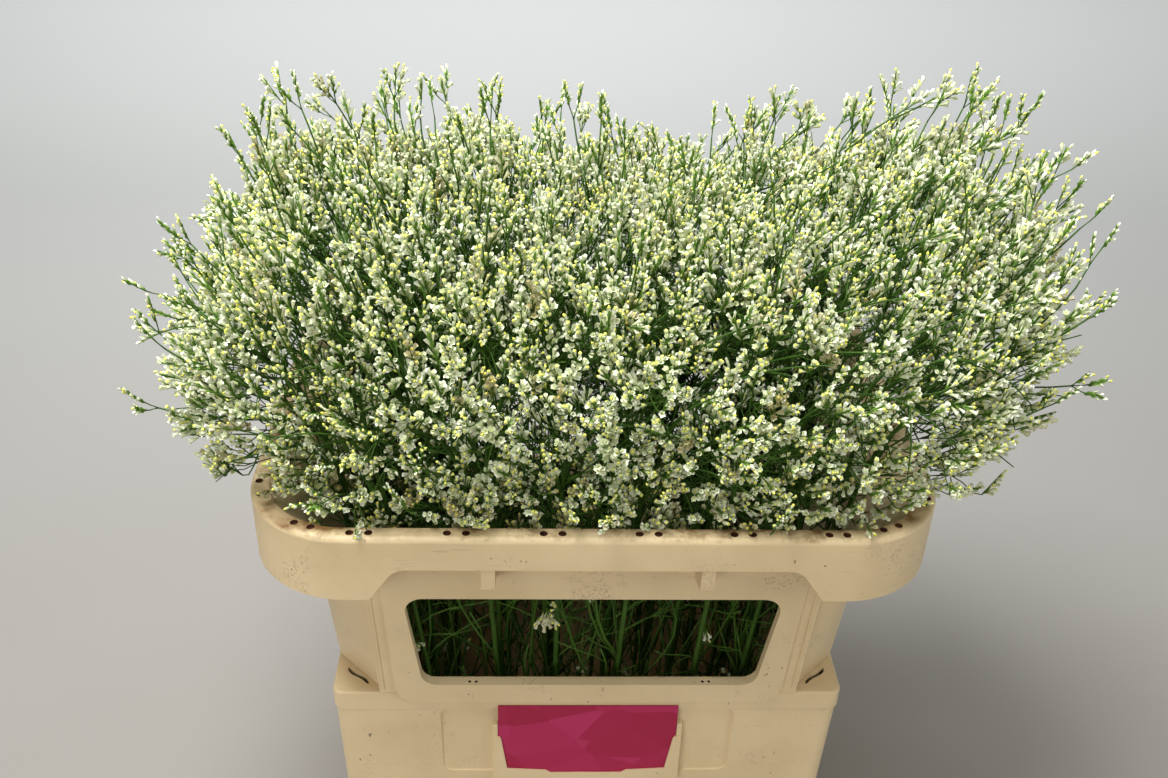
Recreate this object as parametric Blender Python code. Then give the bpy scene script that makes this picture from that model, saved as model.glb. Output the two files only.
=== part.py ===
"""A bucketful of cut statice: branched flower stems that stand in a plastic transport bucket
with an extension collar.  Metres, +Z up, origin under the middle of the bucket's floor, the long
side with the label towards -Y."""
import math

import bmesh
import bpy
import numpy as np
from mathutils import Vector

# ---------------------------------------------------------------- driving dimensions (metres)
GAP = 0.0003                 # air between pieces that touch
# bucket
BUCKET_H = 0.285             # floor underside to the top flange
BUCKET_TOP = (0.200, 0.150)  # half width and half depth of the top band
BUCKET_FACE = (0.1992, 0.1490)   # half sizes just under the band
BUCKET_FOOT = (0.1945, 0.1447)   # half sizes at the floor
BAND_H = 0.018
WALL = 0.0036
FLOOR_T = 0.005
FLANGE_T = 0.003
MOUTH = (0.189, 0.139)       # half sizes of the opening inside the top flange
MOUTH_CUT = 0.037            # cut-off corners of that opening
SLOT_LEN, SLOT_W = 0.0275, 0.003
SLOT_SUM = 0.3135            # x + y on the slot's middle line
# collar, heights counted from the bucket's top
RIM_Z = 0.189
RIM = (0.245, 0.1955)        # half sizes of the rim flange
RIM_R = 0.072
RIM_IN = (0.2315, 0.1822)
COLLAR_FOOT = (0.1985, 0.1485)
COLLAR_CUT = 0.040
DRAFT = 0.106                # the collar's wall leans out
COLLAR_T = 0.0028
LIP = (0.1885, 0.1385)
LIP_DROP = 0.012
SKIRT_MID, SKIRT_CORNER = 0.0275, 0.054   # how far the skirt hangs
SKIRT_X = (0.131, 0.144, 0.1565)          # where the skirt steps down, along the long side
SKIRT_Y = (0.080, 0.092, 0.104)           # and along the short side
WIN_TOP, WIN_BOT = (0.1392, 0.1085), (0.1283, 0.0134)
WIN_R = 0.013
FRAME_TOP, FRAME_BOT = (0.1680, 0.150), (0.1625, 0.005)
TAB_X, TAB_W, TAB_DROP = 0.0755, 0.0095, 0.0195
# label pocket on the bucket's front
CARD_W, CARD_TOP, CARD_BOT, CARD_T = 0.1426, -0.0138, -0.0925, 0.0008
POCKET_HX, POCKET_TOP, POCKET_LOW = 0.0757, -0.034, -0.098
LIP_OUTLINE = ((0.0700, -0.0475), (0.0690, -0.0495), (0.0642, -0.0845), (0.0330, -0.0865),
               (0.0290, -0.0895))    # inner edge of the pocket's front lip, right half
PANEL_HX, PANEL_TOP, PANEL_BOT = 0.1155, -0.019, -0.091
# stems
COLUMNS, ROWS = 8, 6
FOOT_SPAN = (0.166, 0.116)   # outermost feet
FOOT_Z = 0.0075
LANE = 0.023                 # half width of the clear lane between the two middle rows
CLOUD_MID = (0.020, 0.0, 0.519)
CLOUD_AXES = (0.326, 0.208, 0.158)
CLOUD_POWER = 3.4
SPRAYS = 5                   # flower sprays on each stem: one on top, four on side branches
R_FOOT, R_FORK, R_TOP = 0.0024, 0.0018, 0.0012
SPRAY_R, SPRAY_LEN = 0.0046, 0.044
SEED = 4127


# ---------------------------------------------------------------- colours
def material(name, rgb, rough, metal=0.0):
    m = bpy.data.materials.new(name)
    m.use_nodes = True
    b = m.node_tree.nodes["Principled BSDF"]
    b.inputs["Base Color"].default_value = (*rgb, 1.0)
    b.inputs["Roughness"].default_value = rough
    b.inputs["Metallic"].default_value = metal
    m.diffuse_color = (*rgb, 1.0)
    return m


def add_object(name, bm, mat, smooth_angle=None):
    bmesh.ops.recalc_face_normals(bm, faces=bm.faces[:])
    me = bpy.data.meshes.new(name)
    bm.to_mesh(me)
    bm.free()
    ob = bpy.data.objects.new(name, me)
    bpy.context.scene.collection.objects.link(ob)
    me.materials.append(mat)
    if smooth_angle is not None:
        me.shade_smooth()
        me.set_sharp_from_angle(angle=math.radians(smooth_angle))
    return ob


def cutter(name, bm):
    ob = add_object(name, bm, CUT_MAT)
    ob.hide_render = True
    ob.display_type = "WIRE"
    return ob


def boolean(ob, other, operation):
    m = ob.modifiers.new(other.name, "BOOLEAN")
    m.object = other
    m.operation = operation
    m.solver = "EXACT"


# ---------------------------------------------------------------- outlines and lofts
def outline(hx, hy, cut, bulge, segs=6, xs=(), ys=()):
    """A rectangle with its corners cut off (bulge 0) or rounded (bulge 1), counter-clockwise.
    xs and ys are extra stations along the long and the short sides."""
    quarter = []
    for i, y in enumerate(ys):
        quarter.append((hx, min(y, hy - cut - 0.001 * (len(ys) - i))))
    for i in range(segs + 1):
        t = i / segs
        a = t * math.pi / 2
        arc = (hx - cut + cut * math.cos(a), hy - cut + cut * math.sin(a))
        line = (hx - cut * t, hy - cut * (1 - t))
        quarter.append(tuple(l + (c - l) * bulge for l, c in zip(line, arc)))
    for i, x in reversed(list(enumerate(xs))):
        quarter.append((min(x, hx - cut - 0.001 * (len(xs) - i)), hy))
    left = [(-x, y) for x, y in reversed(quarter)]
    top = quarter + left
    return top + [(-x, -y) for x, y in top]


def loft(bm, rings, loop=False):
    rows = [[bm.verts.new(p) for p in ring] for ring in rings]
    pairs = list(zip(rows, rows[1:]))
    if loop:
        pairs.append((rows[-1], rows[0]))
    n = len(rows[0])
    for lo, up in pairs:
        for i in range(n):
            j = (i + 1) % n
            bm.faces.new((lo[i], lo[j], up[j], up[i]))
    if not loop:
        bm.faces.new(list(reversed(rows[0])))
        bm.faces.new(rows[-1])
    return rows


def rounded(points, radius, segs=5):
    """A closed outline with every corner rounded."""
    out = []
    n = len(points)
    for i in range(n):
        p, a, b = (Vector(points[k]) for k in (i, i - 1, (i + 1) % n))
        u, v = (a - p).normalized(), (b - p).normalized()
        half = math.acos(max(-1.0, min(1.0, u.dot(v)))) / 2
        reach = radius / math.tan(half)
        mid = p + (u + v).normalized() * radius / math.sin(half)
        s, e = p + u * reach - mid, p + v * reach - mid
        turn = s.angle_signed(e)
        for k in range(segs + 1):
            ang = -turn * k / segs
            c, q = math.cos(ang), math.sin(ang)
            out.append((mid.x + s.x * c - s.y * q, mid.y + s.x * q + s.y * c))
    return out


def slab(points, front, back):
    """A plate with the outline points (x, z) between the leaning planes y = front(z), back(z)."""
    bm = bmesh.new()
    loft(bm, [[(x, front(z), z) for x, z in points], [(x, back(z), z) for x, z in points]])
    return bm


# ---------------------------------------------------------------- bucket
def bucket_face(z):
    """Half depth of the bucket's outside at a height below its band."""
    t = z / (BUCKET_H - BAND_H)
    return BUCKET_FOOT[1] + (BUCKET_FACE[1] - BUCKET_FOOT[1]) * t


def make_bucket(mat):
    top, band = BUCKET_H, BUCKET_H - BAND_H
    under = top - FLANGE_T
    rings = [
        (BUCKET_FOOT[0] - 0.003, BUCKET_FOOT[1] - 0.003, 0.020, 1, 0.0),
        (BUCKET_FOOT[0], BUCKET_FOOT[1], 0.022, 1, 0.004),
        (BUCKET_FACE[0], BUCKET_FACE[1], 0.009, 1, band - 0.001),
        (BUCKET_TOP[0], BUCKET_TOP[1], 0.008, 1, band),
        (BUCKET_TOP[0], BUCKET_TOP[1], 0.008, 1, top),
        (MOUTH[0], MOUTH[1], MOUTH_CUT, 0, top),
        (MOUTH[0], MOUTH[1], MOUTH_CUT, 0, under),
        (BUCKET_FACE[0] - WALL, BUCKET_FACE[1] - WALL, 0.008, 1, under),
        (BUCKET_FOOT[0] - WALL, BUCKET_FOOT[1] - WALL, 0.019, 1, FLOOR_T),
    ]
    bm = bmesh.new()
    loft(bm, [[(x, y, z) for x, y in outline(hx, hy, c, b, 3)] for hx, hy, c, b, z in rings])
    ob = add_object("bucket", bm, mat, 35)

    zt, zb = top + PANEL_TOP, top + PANEL_BOT
    recess = rounded([(-PANEL_HX, zb), (PANEL_HX, zb), (PANEL_HX, zt), (-PANEL_HX, zt)], 0.008, 3)
    plane = bucket_face(top + PANEL_BOT) - 0.0014
    boolean(ob, cutter("cut_recess", slab(recess, lambda z: -0.160, lambda z: -plane)),
            "DIFFERENCE")
    # the pocket: a U of rails that stands out of the recess, with a lip in front of the card
    back = BUCKET_TOP[1] + GAP
    front = back + CARD_T + GAP
    low = top + CARD_BOT
    inner = CARD_W / 2 + 0.0004
    rails = [(-POCKET_HX, top + POCKET_TOP), (-POCKET_HX, top + POCKET_LOW),
             (POCKET_HX, top + POCKET_LOW), (POCKET_HX, top + POCKET_TOP),
             (inner, top + POCKET_TOP), (inner, low - GAP), (-inner, low - GAP),
             (-inner, top + POCKET_TOP)]
    boolean(ob, cutter("add_rails", slab(rails, lambda z: -front - 0.0001,
                                         lambda z: -plane + 0.0010)), "UNION")
    edge = [(x, top + z) for x, z in LIP_OUTLINE]
    lips = [(-POCKET_HX, edge[0][1]), (-POCKET_HX, top + POCKET_LOW),
            (POCKET_HX, top + POCKET_LOW), (POCKET_HX, edge[0][1])] + edge + \
        [(-x, z) for x, z in reversed(edge)]
    boolean(ob, cutter("add_lip", slab(lips, lambda z: -front - 0.0014, lambda z: -front)),
            "UNION")
    # a slot through each corner shoulder, along the cut-off corner
    for sx in (-1, 1):
        for sy in (-1, 1):
            bm = bmesh.new()
            bmesh.ops.create_cube(bm, size=1.0)
            mid = ((SLOT_SUM + BUCKET_TOP[0] - BUCKET_TOP[1]) / 2,
                   (SLOT_SUM - BUCKET_TOP[0] + BUCKET_TOP[1]) / 2)
            turn = -sx * sy * math.pi / 4
            for v in bm.verts:
                x, y, z = v.co.x * SLOT_LEN, v.co.y * SLOT_W, v.co.z * 0.012
                v.co = (sx * mid[0] + x * math.cos(turn) - y * math.sin(turn),
                        sy * mid[1] + x * math.sin(turn) + y * math.cos(turn), top + z)
            name = "cut_slot_%s%s" % ("lr"[sx > 0], "fb"[sy > 0])
            boolean(ob, cutter(name, bm), "DIFFERENCE")

    bm = slab([(-CARD_W / 2, low), (CARD_W / 2, low), (CARD_W / 2, top + CARD_TOP),
               (-CARD_W / 2, top + CARD_TOP)],
              lambda z: -back - CARD_T, lambda z: -back)
    add_object("label_card", bm, CARD_MAT)


# ---------------------------------------------------------------- collar
def skirt_drop(x, y):
    """How far the skirt hangs at a point of its outline: deeper round the corners."""
    along = abs(x) if abs(y) > RIM[1] - 0.012 else None
    stations = SKIRT_X if along is not None else SKIRT_Y
    along = abs(x) if along is not None else abs(y)
    t = (along - stations[0]) / (stations[2] - stations[0])
    t = max(0.0, min(1.0, t))
    t = t * t * (3 - 2 * t)
    return SKIRT_MID + (SKIRT_CORNER - SKIRT_MID) * t


def make_collar(mat):
    z0 = BUCKET_H + GAP
    rim = BUCKET_H + RIM_Z

    def ring(hx, hy, cut, bulge, z, drop=None):
        pts = outline(hx, hy, cut, bulge, 6, SKIRT_X, SKIRT_Y)
        if drop is None:
            return [(x, y, z) for x, y in pts]
        wide = outline(RIM[0], RIM[1], RIM_R, 1, 6, SKIRT_X, SKIRT_Y)
        return [(x, y, rim - skirt_drop(*w) * drop) for (x, y), w in zip(pts, wide)]

    def wall(h):
        lean = DRAFT * h
        return (COLLAR_FOOT[0] + lean, COLLAR_FOOT[1] + lean, COLLAR_CUT + 0.018 * h / 0.15,
                min(1.0, h / 0.11))
    neck = 0.150
    wx, wy, wc, wb = wall(neck)
    mx, my, mc, mb = wall(0.075)
    t = COLLAR_T
    rings = [
        ring(LIP[0], LIP[1], MOUTH_CUT, 0, BUCKET_H - LIP_DROP),
        ring(LIP[0], LIP[1], MOUTH_CUT, 0, z0),
        ring(COLLAR_FOOT[0], COLLAR_FOOT[1], COLLAR_CUT, 0, z0),
        ring(mx, my, mc, mb, BUCKET_H + 0.075),
        ring(wx, wy, wc, wb, BUCKET_H + neck),
        ring(RIM_IN[0] + t, RIM_IN[1] + t, RIM_R - 0.011, 1, rim - 0.0035),
        ring(RIM[0] - t, RIM[1] - t, RIM_R - t, 1, rim - 0.0035),
        ring(RIM[0] - t, RIM[1] - t, RIM_R - t, 1, 0, 1.0),
        ring(RIM[0], RIM[1], RIM_R, 1, 0, 1.0),
        ring(RIM[0], RIM[1], RIM_R, 1, rim - 0.002),
        ring(RIM[0] - 0.002, RIM[1] - 0.002, RIM_R - 0.002, 1, rim),
        ring(RIM_IN[0], RIM_IN[1], RIM_R - 0.0135, 1, rim),
        ring(wx - t, wy - t, wc - 0.6 * t, wb, BUCKET_H + neck),
        ring(mx - t, my - t, mc - 0.6 * t, mb, BUCKET_H + 0.075),
        ring(COLLAR_FOOT[0] - t, COLLAR_FOOT[1] - t, COLLAR_CUT - 0.6 * t, 0, z0 + 0.004),
        ring(LIP[0] - 0.0025, LIP[1] - 0.0025, MOUTH_CUT - 0.0015, 0, z0 + 0.003),
        ring(LIP[0] - 0.0025, LIP[1] - 0.0025, MOUTH_CUT - 0.0015, 0, BUCKET_H - LIP_DROP),
    ]
    bm = bmesh.new()
    loft(bm, rings, loop=True)
    ob = add_object("collar", bm, mat, 35)

    for side, tag in ((-1, "front"), (1, "back")):
        # raised frame round the window, and its apron over the bucket's band
        base = BUCKET_H
        pts = [(-FRAME_BOT[0], base + 0.002), (FRAME_BOT[0], base + 0.002),
               (FRAME_BOT[0], base + FRAME_BOT[1]), (FRAME_TOP[0], base + FRAME_TOP[1]),
               (-FRAME_TOP[0], base + FRAME_TOP[1]), (-FRAME_BOT[0], base + FRAME_BOT[1])]
        face = lambda z: side * (0.1540 + 0.090 * (z - base))
        boolean(ob, cutter("add_frame_" + tag, slab(
            pts, face, lambda z: side * (COLLAR_FOOT[1] - 0.0012 + DRAFT * (z - base)))), "UNION")
        apron = [(-0.1475, base - 0.0075), (0.1475, base - 0.0075),
                 (FRAME_BOT[0], base + 0.0045), (-FRAME_BOT[0], base + 0.0045)]
        boolean(ob, cutter("add_apron_" + tag, slab(
            apron, lambda z: side * (0.1540 + 0.090 * (z - base) - 0.0001),
            lambda z: side * (BUCKET_TOP[1] + GAP))), "UNION")
        win = rounded([(-WIN_BOT[0], base + WIN_BOT[1]), (WIN_BOT[0], base + WIN_BOT[1]),
                       (WIN_TOP[0], base + WIN_TOP[1]), (-WIN_TOP[0], base + WIN_TOP[1])], WIN_R)
        boolean(ob, cutter("cut_window_" + tag, slab(win, lambda z: side * 0.180,
                                                     lambda z: side * 0.120)), "DIFFERENCE")
        # two tabs under the skirt, each a rib from the skirt in to the wall
        for sx in (-1, 1):
            zs = rim - SKIRT_MID
            bm = bmesh.new()
            x0, x1 = sx * TAB_X - TAB_W / 2, sx * TAB_X + TAB_W / 2
            sect = [(side * (RIM[1] - 0.0005), zs + 0.004),
                    (side * (RIM[1] - 0.0020), zs - TAB_DROP),
                    (side * (RIM[1] - 0.0075), zs - TAB_DROP - 0.001),
                    (side * (COLLAR_FOOT[1] + DRAFT * 0.13 - 0.001), BUCKET_H + 0.130),
                    (side * (COLLAR_FOOT[1] + DRAFT * 0.15 - 0.001), BUCKET_H + 0.148),
                    (side * (RIM[1] - 0.0015), zs + 0.010)]
            loft(bm, [[(x0, y, z) for y, z in sect], [(x1, y, z) for y, z in sect]])
            boolean(ob, cutter("add_tab_%s_%s" % (tag, "lr"[sx > 0]), bm), "UNION")


# ---------------------------------------------------------------- stems
def bezier(a, b, c, n):
    t = np.linspace(0, 1, n)[:, None]
    return (1 - t) ** 2 * a + 2 * t * (1 - t) * b + t ** 2 * c


def lengths(line):
    return np.concatenate([[0], np.cumsum(np.linalg.norm(np.diff(line, axis=0), axis=1))])


def facets(line, marks):
    """The line as the solid has it: straight between the marks (distances along it)."""
    cum = lengths(line)
    knots = np.stack([np.interp(marks, cum, line[:, i]) for i in range(3)], axis=1)
    t = np.linspace(0, len(marks) - 1, 8 * (len(marks) - 1) + 1)
    return np.stack([np.interp(t, range(len(marks)), knots[:, i]) for i in range(3)], axis=1)


def branch_marks(total):
    return [0.0, (total - SPRAY_LEN) * 0.5, total - SPRAY_LEN, total - 0.55 * SPRAY_LEN, total]


def trunk_marks(total, f1, f2):
    return [0.0, 0.42 * f1, 0.80 * f1, f1 - 0.0025, f1 + 0.0025, f2 - 0.0025, f2 + 0.0025,
            max(total - SPRAY_LEN, f2 + 0.012), max(total - 0.55 * SPRAY_LEN, f2 + 0.026), total]


def on_cloud(d, u):
    """Points of the dome of flowers in the directions d, at the share u of the way out."""
    mid, axes = np.array(CLOUD_MID), np.array(CLOUD_AXES)
    reach = (np.abs(d / axes) ** CLOUD_POWER).sum(1) ** (-1 / CLOUD_POWER)
    p = mid + d * reach[:, None] * u[:, None]
    x, z = p[:, 0].copy(), p[:, 2].copy()

    def swell(at, width, v=x):
        return np.exp(-((v - at) / width) ** 2)
    # two higher crowns, a low middle, and dips on both sides of it
    up = np.clip((z - mid[2]) / axes[2], 0, 1)
    p[:, 2] += up * (0.056 * swell(0.318, 0.095) + 0.040 * swell(-0.250, 0.072)
                     - 0.018 * swell(0.035, 0.080) - 0.014 * swell(-0.050, 0.022)
                     - 0.026 * swell(0.094, 0.030) * (p[:, 1] > -0.05))
    # the right end leans out at the top, the left end has a waist, and both draw in low down
    left, right = np.clip((-0.08 - x) / 0.16, 0, 1), np.clip((x - 0.10) / 0.16, 0, 1)
    low = np.clip((0.550 - z) / 0.070, 0, 1)
    p[:, 0] += right * (0.044 * up ** 2 - 0.014 - 0.024 * low)
    waist = 0.030 * swell(0.606, 0.030, z) - 0.016 * swell(0.542, 0.022, z)
    p[:, 0] += left * (waist + 0.016 * low)
    p[:, 1] *= 1 - 0.06 * low
    return p


def cloud_tips(rng, count):
    """Spray tips spread evenly over the dome of flowers, by best candidate."""
    tips = []
    while len(tips) < count:
        d = rng.normal(size=(240, 3))
        d /= np.linalg.norm(d, axis=1)[:, None]
        d[:, 2] = np.abs(d[:, 2]) * 1.15 - 0.15
        p = on_cloud(d, rng.uniform(0.90, 1.035, 240))
        ok = p[:, 2] > BUCKET_H + RIM_Z + 0.016 + 0.024 * (np.abs(p[:, 0]) < 0.262)
        p = p[ok]
        if tips:
            gap = np.linalg.norm(p[:, None] - np.array(tips)[None], axis=2).min(1)
            tips.append(p[np.argmax(gap)])
        else:
            tips.append(p[0])
    return np.array(tips)


def inside_collar(p, r):
    """True where balls at p with radii r clear the collar, the bucket and the window boxes."""
    x, y, z = np.abs(p[:, 0]), np.abs(p[:, 1]), p[:, 2] - BUCKET_H

    def out(hx, hy, c):
        ax, ay = x - (hx - c), y - (hy - c)
        return np.hypot(np.maximum(ax, 0), np.maximum(ay, 0)) + \
            np.minimum(np.maximum(ax, ay), 0) - c
    lean = DRAFT * np.clip(z, 0, 0.15)
    wall = out(0.1860 + lean, 0.1360 + lean, 0.060) < -r - 0.001
    rim_in = out(RIM_IN[0], RIM_IN[1], RIM_R - 0.012) < -r - 0.0015
    rim_out = out(RIM[0], RIM[1], RIM_R) > r + 0.0015
    ok = np.where(z < 0.150, wall, rim_in)
    ok |= rim_out & (z > 0.12)
    ok |= z > RIM_Z + r + 0.0015
    window = (x < 0.135) & (y > 0.1375 - r) & (z > 0.008) & (z < 0.114)
    lane = (y < 0.0125 + r) & (x < 0.19) & (z < RIM_Z + 0.006)
    return bool(np.all(ok & ~window & ~lane))


def grow():
    """Every stem as a trunk line and four branch lines, clear of each other and the holder."""
    rng = np.random.default_rng(SEED)
    tips = cloud_tips(rng, COLUMNS * ROWS * SPRAYS)
    order = np.argsort(tips[:, 0])
    per = ROWS * SPRAYS
    balls = np.zeros((0, 4))
    owner = np.zeros(0, int)
    stems = []
    rim = BUCKET_H + RIM_Z
    for col in range(COLUMNS):
        group = order[col * per:(col + 1) * per]
        group = group[np.argsort(tips[group, 1])]
        for row in range(ROWS):
            mine = tips[group[row * SPRAYS:(row + 1) * SPRAYS]]
            u = (col + 0.5) / COLUMNS * 2 - 1
            half = ROWS // 2
            k = row - half if row >= half else half - 1 - row
            v = (LANE + k * (FOOT_SPAN[1] - LANE) / (half - 1)) * (1 if row >= half else -1)
            mean = mine.mean(0)
            central = np.argsort(((mine - mean) ** 2).sum(1) - 0.02 * mine[:, 2])
            edge = col in (0, COLUMNS - 1) or row in (0, ROWS - 1)
            pull = 0.91 if col in (0, COLUMNS - 1) and row in (0, ROWS - 1) else 1.0
            for attempt in range(240):
                top = mine[central[attempt // 80]]
                foot = np.array([u * FOOT_SPAN[0] / (1 - 1 / COLUMNS) + rng.uniform(-.008, .008),
                                 v + rng.uniform(-.005, .005), FOOT_Z])
                foot[:2] *= pull
                lim = (0.212, 0.1665)
                rimp = np.array([np.clip(foot[0] * 1.16 + 0.08 * (mean[0] - foot[0])
                                         + rng.uniform(-.012, .012), -lim[0], lim[0]),
                                 np.clip(foot[1] * 1.25 + rng.uniform(-.006, .006),
                                         -lim[1], lim[1]), rim])
                s = np.linspace(0, 1, 60)[:, None]
                low = foot + (rimp - foot) * np.hstack([s ** 1.7, s ** 2.3, s])
                d = low[-1] - low[-6]
                d /= np.linalg.norm(d)
                rise = np.linalg.norm(top - rimp)
                high = bezier(rimp, rimp + d * rise * 0.55, top, 40)[1:]
                line = np.vstack([low, high])
                cum = lengths(line)
                total = cum[-1]
                free = min(total * 0.42, total - cum[59] + (-0.004 if edge else 0.055))
                forks = [total - free, total - 0.62 * free]
                both = np.vstack([line, facets(line, trunk_marks(total, *forks))])
                rad = np.full(len(both), R_FOOT) * 1.15
                far = np.linalg.norm(both - top, axis=1)
                rad = np.where(far < SPRAY_LEN, SPRAY_R + 0.0006, rad)
                new = np.hstack([both, rad[:, None]])
                if inside_collar(both, rad) and clear(new, balls):
                    break
            else:
                continue
            at = lambda q: np.array([np.interp(q, cum, line[:, i]) for i in range(3)])
            stem = {"line": line, "cum": cum, "branches": []}
            balls = np.vstack([balls, new])
            owner = np.concatenate([owner, np.full(len(new), len(stems))])
            # two forks: the lower one takes the two sprays that sit furthest from the top
            rest = [m for m in mine if not np.allclose(m, top)]
            rest.sort(key=lambda m: -np.linalg.norm(m - top))
            t1 = at(forks[0] + 0.01) - at(forks[0] - 0.01)
            t1 /= np.linalg.norm(t1)
            side = rest[0] - at(forks[0])
            side -= t1 * side.dot(t1)
            side /= np.linalg.norm(side)
            stem["normal"] = side
            stem["forks"] = forks
            pick = {0: rest[0]}
            others = rest[1:]
            others.sort(key=lambda m: (m - at(forks[0])).dot(side))
            pick[2] = others[0]
            cross = np.cross(t1, side)
            others = sorted(others[1:], key=lambda m: (m - at(forks[1])).dot(cross))
            pick[3], pick[1] = others[0], others[-1]
            for face, tip in pick.items():
                fork = forks[face % 2]
                root = at(fork)
                t1 = at(fork + 0.005) - at(fork - 0.005)
                t1 /= np.linalg.norm(t1)
                out = side if face % 2 == 0 else cross
                out = out - t1 * out.dot(t1)
                out = out / np.linalg.norm(out) * (1 if face < 2 else -1)
                own = owner == len(stems)
                near = np.linalg.norm(balls[:, :3] - root, axis=1) < 0.020
                for attempt in range(90):
                    shrink = 1.0 - 0.012 * (attempt // 3)
                    lift = np.array([0, 0, 0.022]) * (attempt % 3)
                    end = root + (tip - root) * shrink + rng.normal(size=3) * 0.0001 * attempt
                    lead = np.linalg.norm(end - root)
                    a = root + out * 0.0062 + t1 * 0.0052
                    ctrl = root + out * (0.20 * lead) + t1 * lead * rng.uniform(0.40, 0.62) + lift
                    way = bezier(a, ctrl, end, 30)
                    both = np.vstack([way, facets(way, branch_marks(lengths(way)[-1]))])
                    far = np.linalg.norm(both - end, axis=1)
                    r = np.where(far < SPRAY_LEN, SPRAY_R + 0.0006, R_TOP * 1.5 + 0.0006)
                    new = np.hstack([both, r[:, None]])
                    if lead > 0.06 and inside_collar(both, r) and clear(new, balls[~(own & near)]):
                        stem["branches"].append((face, way))
                        balls = np.vstack([balls, new])
                        owner = np.concatenate([owner, np.full(len(new), len(stems))])
                        break
            stems.append(stem)
    return stems


def clear(new, balls):
    if not len(balls):
        return True
    lo, hi = new[:, :3].min(0) - 0.014, new[:, :3].max(0) + 0.014
    b = balls[np.all((balls[:, :3] > lo) & (balls[:, :3] < hi), axis=1)]
    if not len(b):
        return True
    d = np.linalg.norm(new[:, None, :3] - b[None, :, :3], axis=2)
    return bool(np.all(d > new[:, None, 3] + b[None, :, 3] + 0.0004))


def square_ring(bm, c, e1, e2, r):
    return [bm.verts.new(c + (e1 * i + e2 * j) * r * 0.7071)
            for i, j in ((-1, -1), (1, -1), (1, 1), (-1, 1))]


def skin(bm, a, b):
    return [bm.faces.new((a[i], a[(i + 1) % 4], b[(i + 1) % 4], b[i])) for i in range(4)]


def fan(bm, a, tip):
    t = bm.verts.new(tip)
    for i in range(4):
        bm.faces.new((a[i], a[(i + 1) % 4], t))


def make_stem(name, stem, mat):
    line, cum = stem["line"], stem["cum"]
    total = cum[-1]

    def at(q):
        return Vector([float(np.interp(q, cum, line[:, i])) for i in range(3)])
    stations = trunk_marks(total, *stem["forks"])[:-1]
    radii = [R_FOOT, R_FOOT, 0.5 * (R_FOOT + R_FORK), R_FORK, R_FORK, R_TOP * 1.25, R_TOP * 1.25,
             R_TOP, SPRAY_R]
    bm = bmesh.new()
    normal = Vector(stem["normal"])
    rows = []
    for q, r in zip(stations, radii):
        t = (at(min(q + 0.004, total)) - at(max(q - 0.004, 0.0))).normalized()
        n = (normal - t * normal.dot(t)).normalized()
        # faces 0..3 look along +n, t x n, -n, -(t x n)
        b = t.cross(n)
        c = at(q)
        row = [bm.verts.new(c + (n * i + b * j) * r * 0.7071)
               for i, j in ((1, -1), (1, 1), (-1, 1), (-1, -1))]
        rows.append((row, t, n, b, c))
    bm.faces.new(list(reversed(rows[0][0])))
    walls = [skin(bm, a[0], b[0]) for a, b in zip(rows, rows[1:])]
    fan(bm, rows[-1][0], at(total))
    for face, way in stem["branches"]:
        seg = 3 if face % 2 == 0 else 5
        lo, hi = rows[seg], rows[seg + 1]
        base = [lo[0][face], lo[0][(face + 1) % 4], hi[0][(face + 1) % 4], hi[0][face]]
        bm.faces.remove(walls[seg][face])
        prev = base
        along = lengths(way)
        e1 = (base[1].co - base[0].co).normalized()
        lead = along[-1]

        def on(q):
            return Vector([float(np.interp(q, along, way[:, i])) for i in range(3)])
        for q, r in zip(branch_marks(lead), (R_TOP * 1.2, R_TOP, R_TOP, SPRAY_R)):
            t = (on(min(q + 0.004, lead)) - on(max(q - 0.004, 0.0))).normalized()
            e1 = (e1 - t * e1.dot(t)).normalized()
            row = square_ring(bm, on(q), e1, t.cross(e1), r)
            skin(bm, prev, row)
            prev = row
        fan(bm, prev, on(lead))
    add_object(name, bm, mat)


# ---------------------------------------------------------------- build
for old in list(bpy.data.objects):
    bpy.data.objects.remove(old, do_unlink=True)

CUT_MAT = material("cutter", (0.5, 0.5, 0.5), 0.5)
CARD_MAT = material("label_card", (0.36, 0.02, 0.10), 0.35)
make_bucket(material("bucket", (0.62, 0.47, 0.27), 0.42))
make_collar(material("collar", (0.64, 0.49, 0.29), 0.42))
for number, one in enumerate(grow(), 1):
    shade = 0.9 + 0.2 * ((number * 7) % 5) / 4
    make_stem("stem_%02d" % number, one,
              material("stem_%02d" % number, (0.07 * shade, 0.16 * shade, 0.035 * shade), 0.55))
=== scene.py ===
"""Looks for a bucketful of cut statice: cream plastic bucket and collar, a plain magenta card,
and 48 branched stems covered in small papery flowers.  Metres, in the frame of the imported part."""

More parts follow.
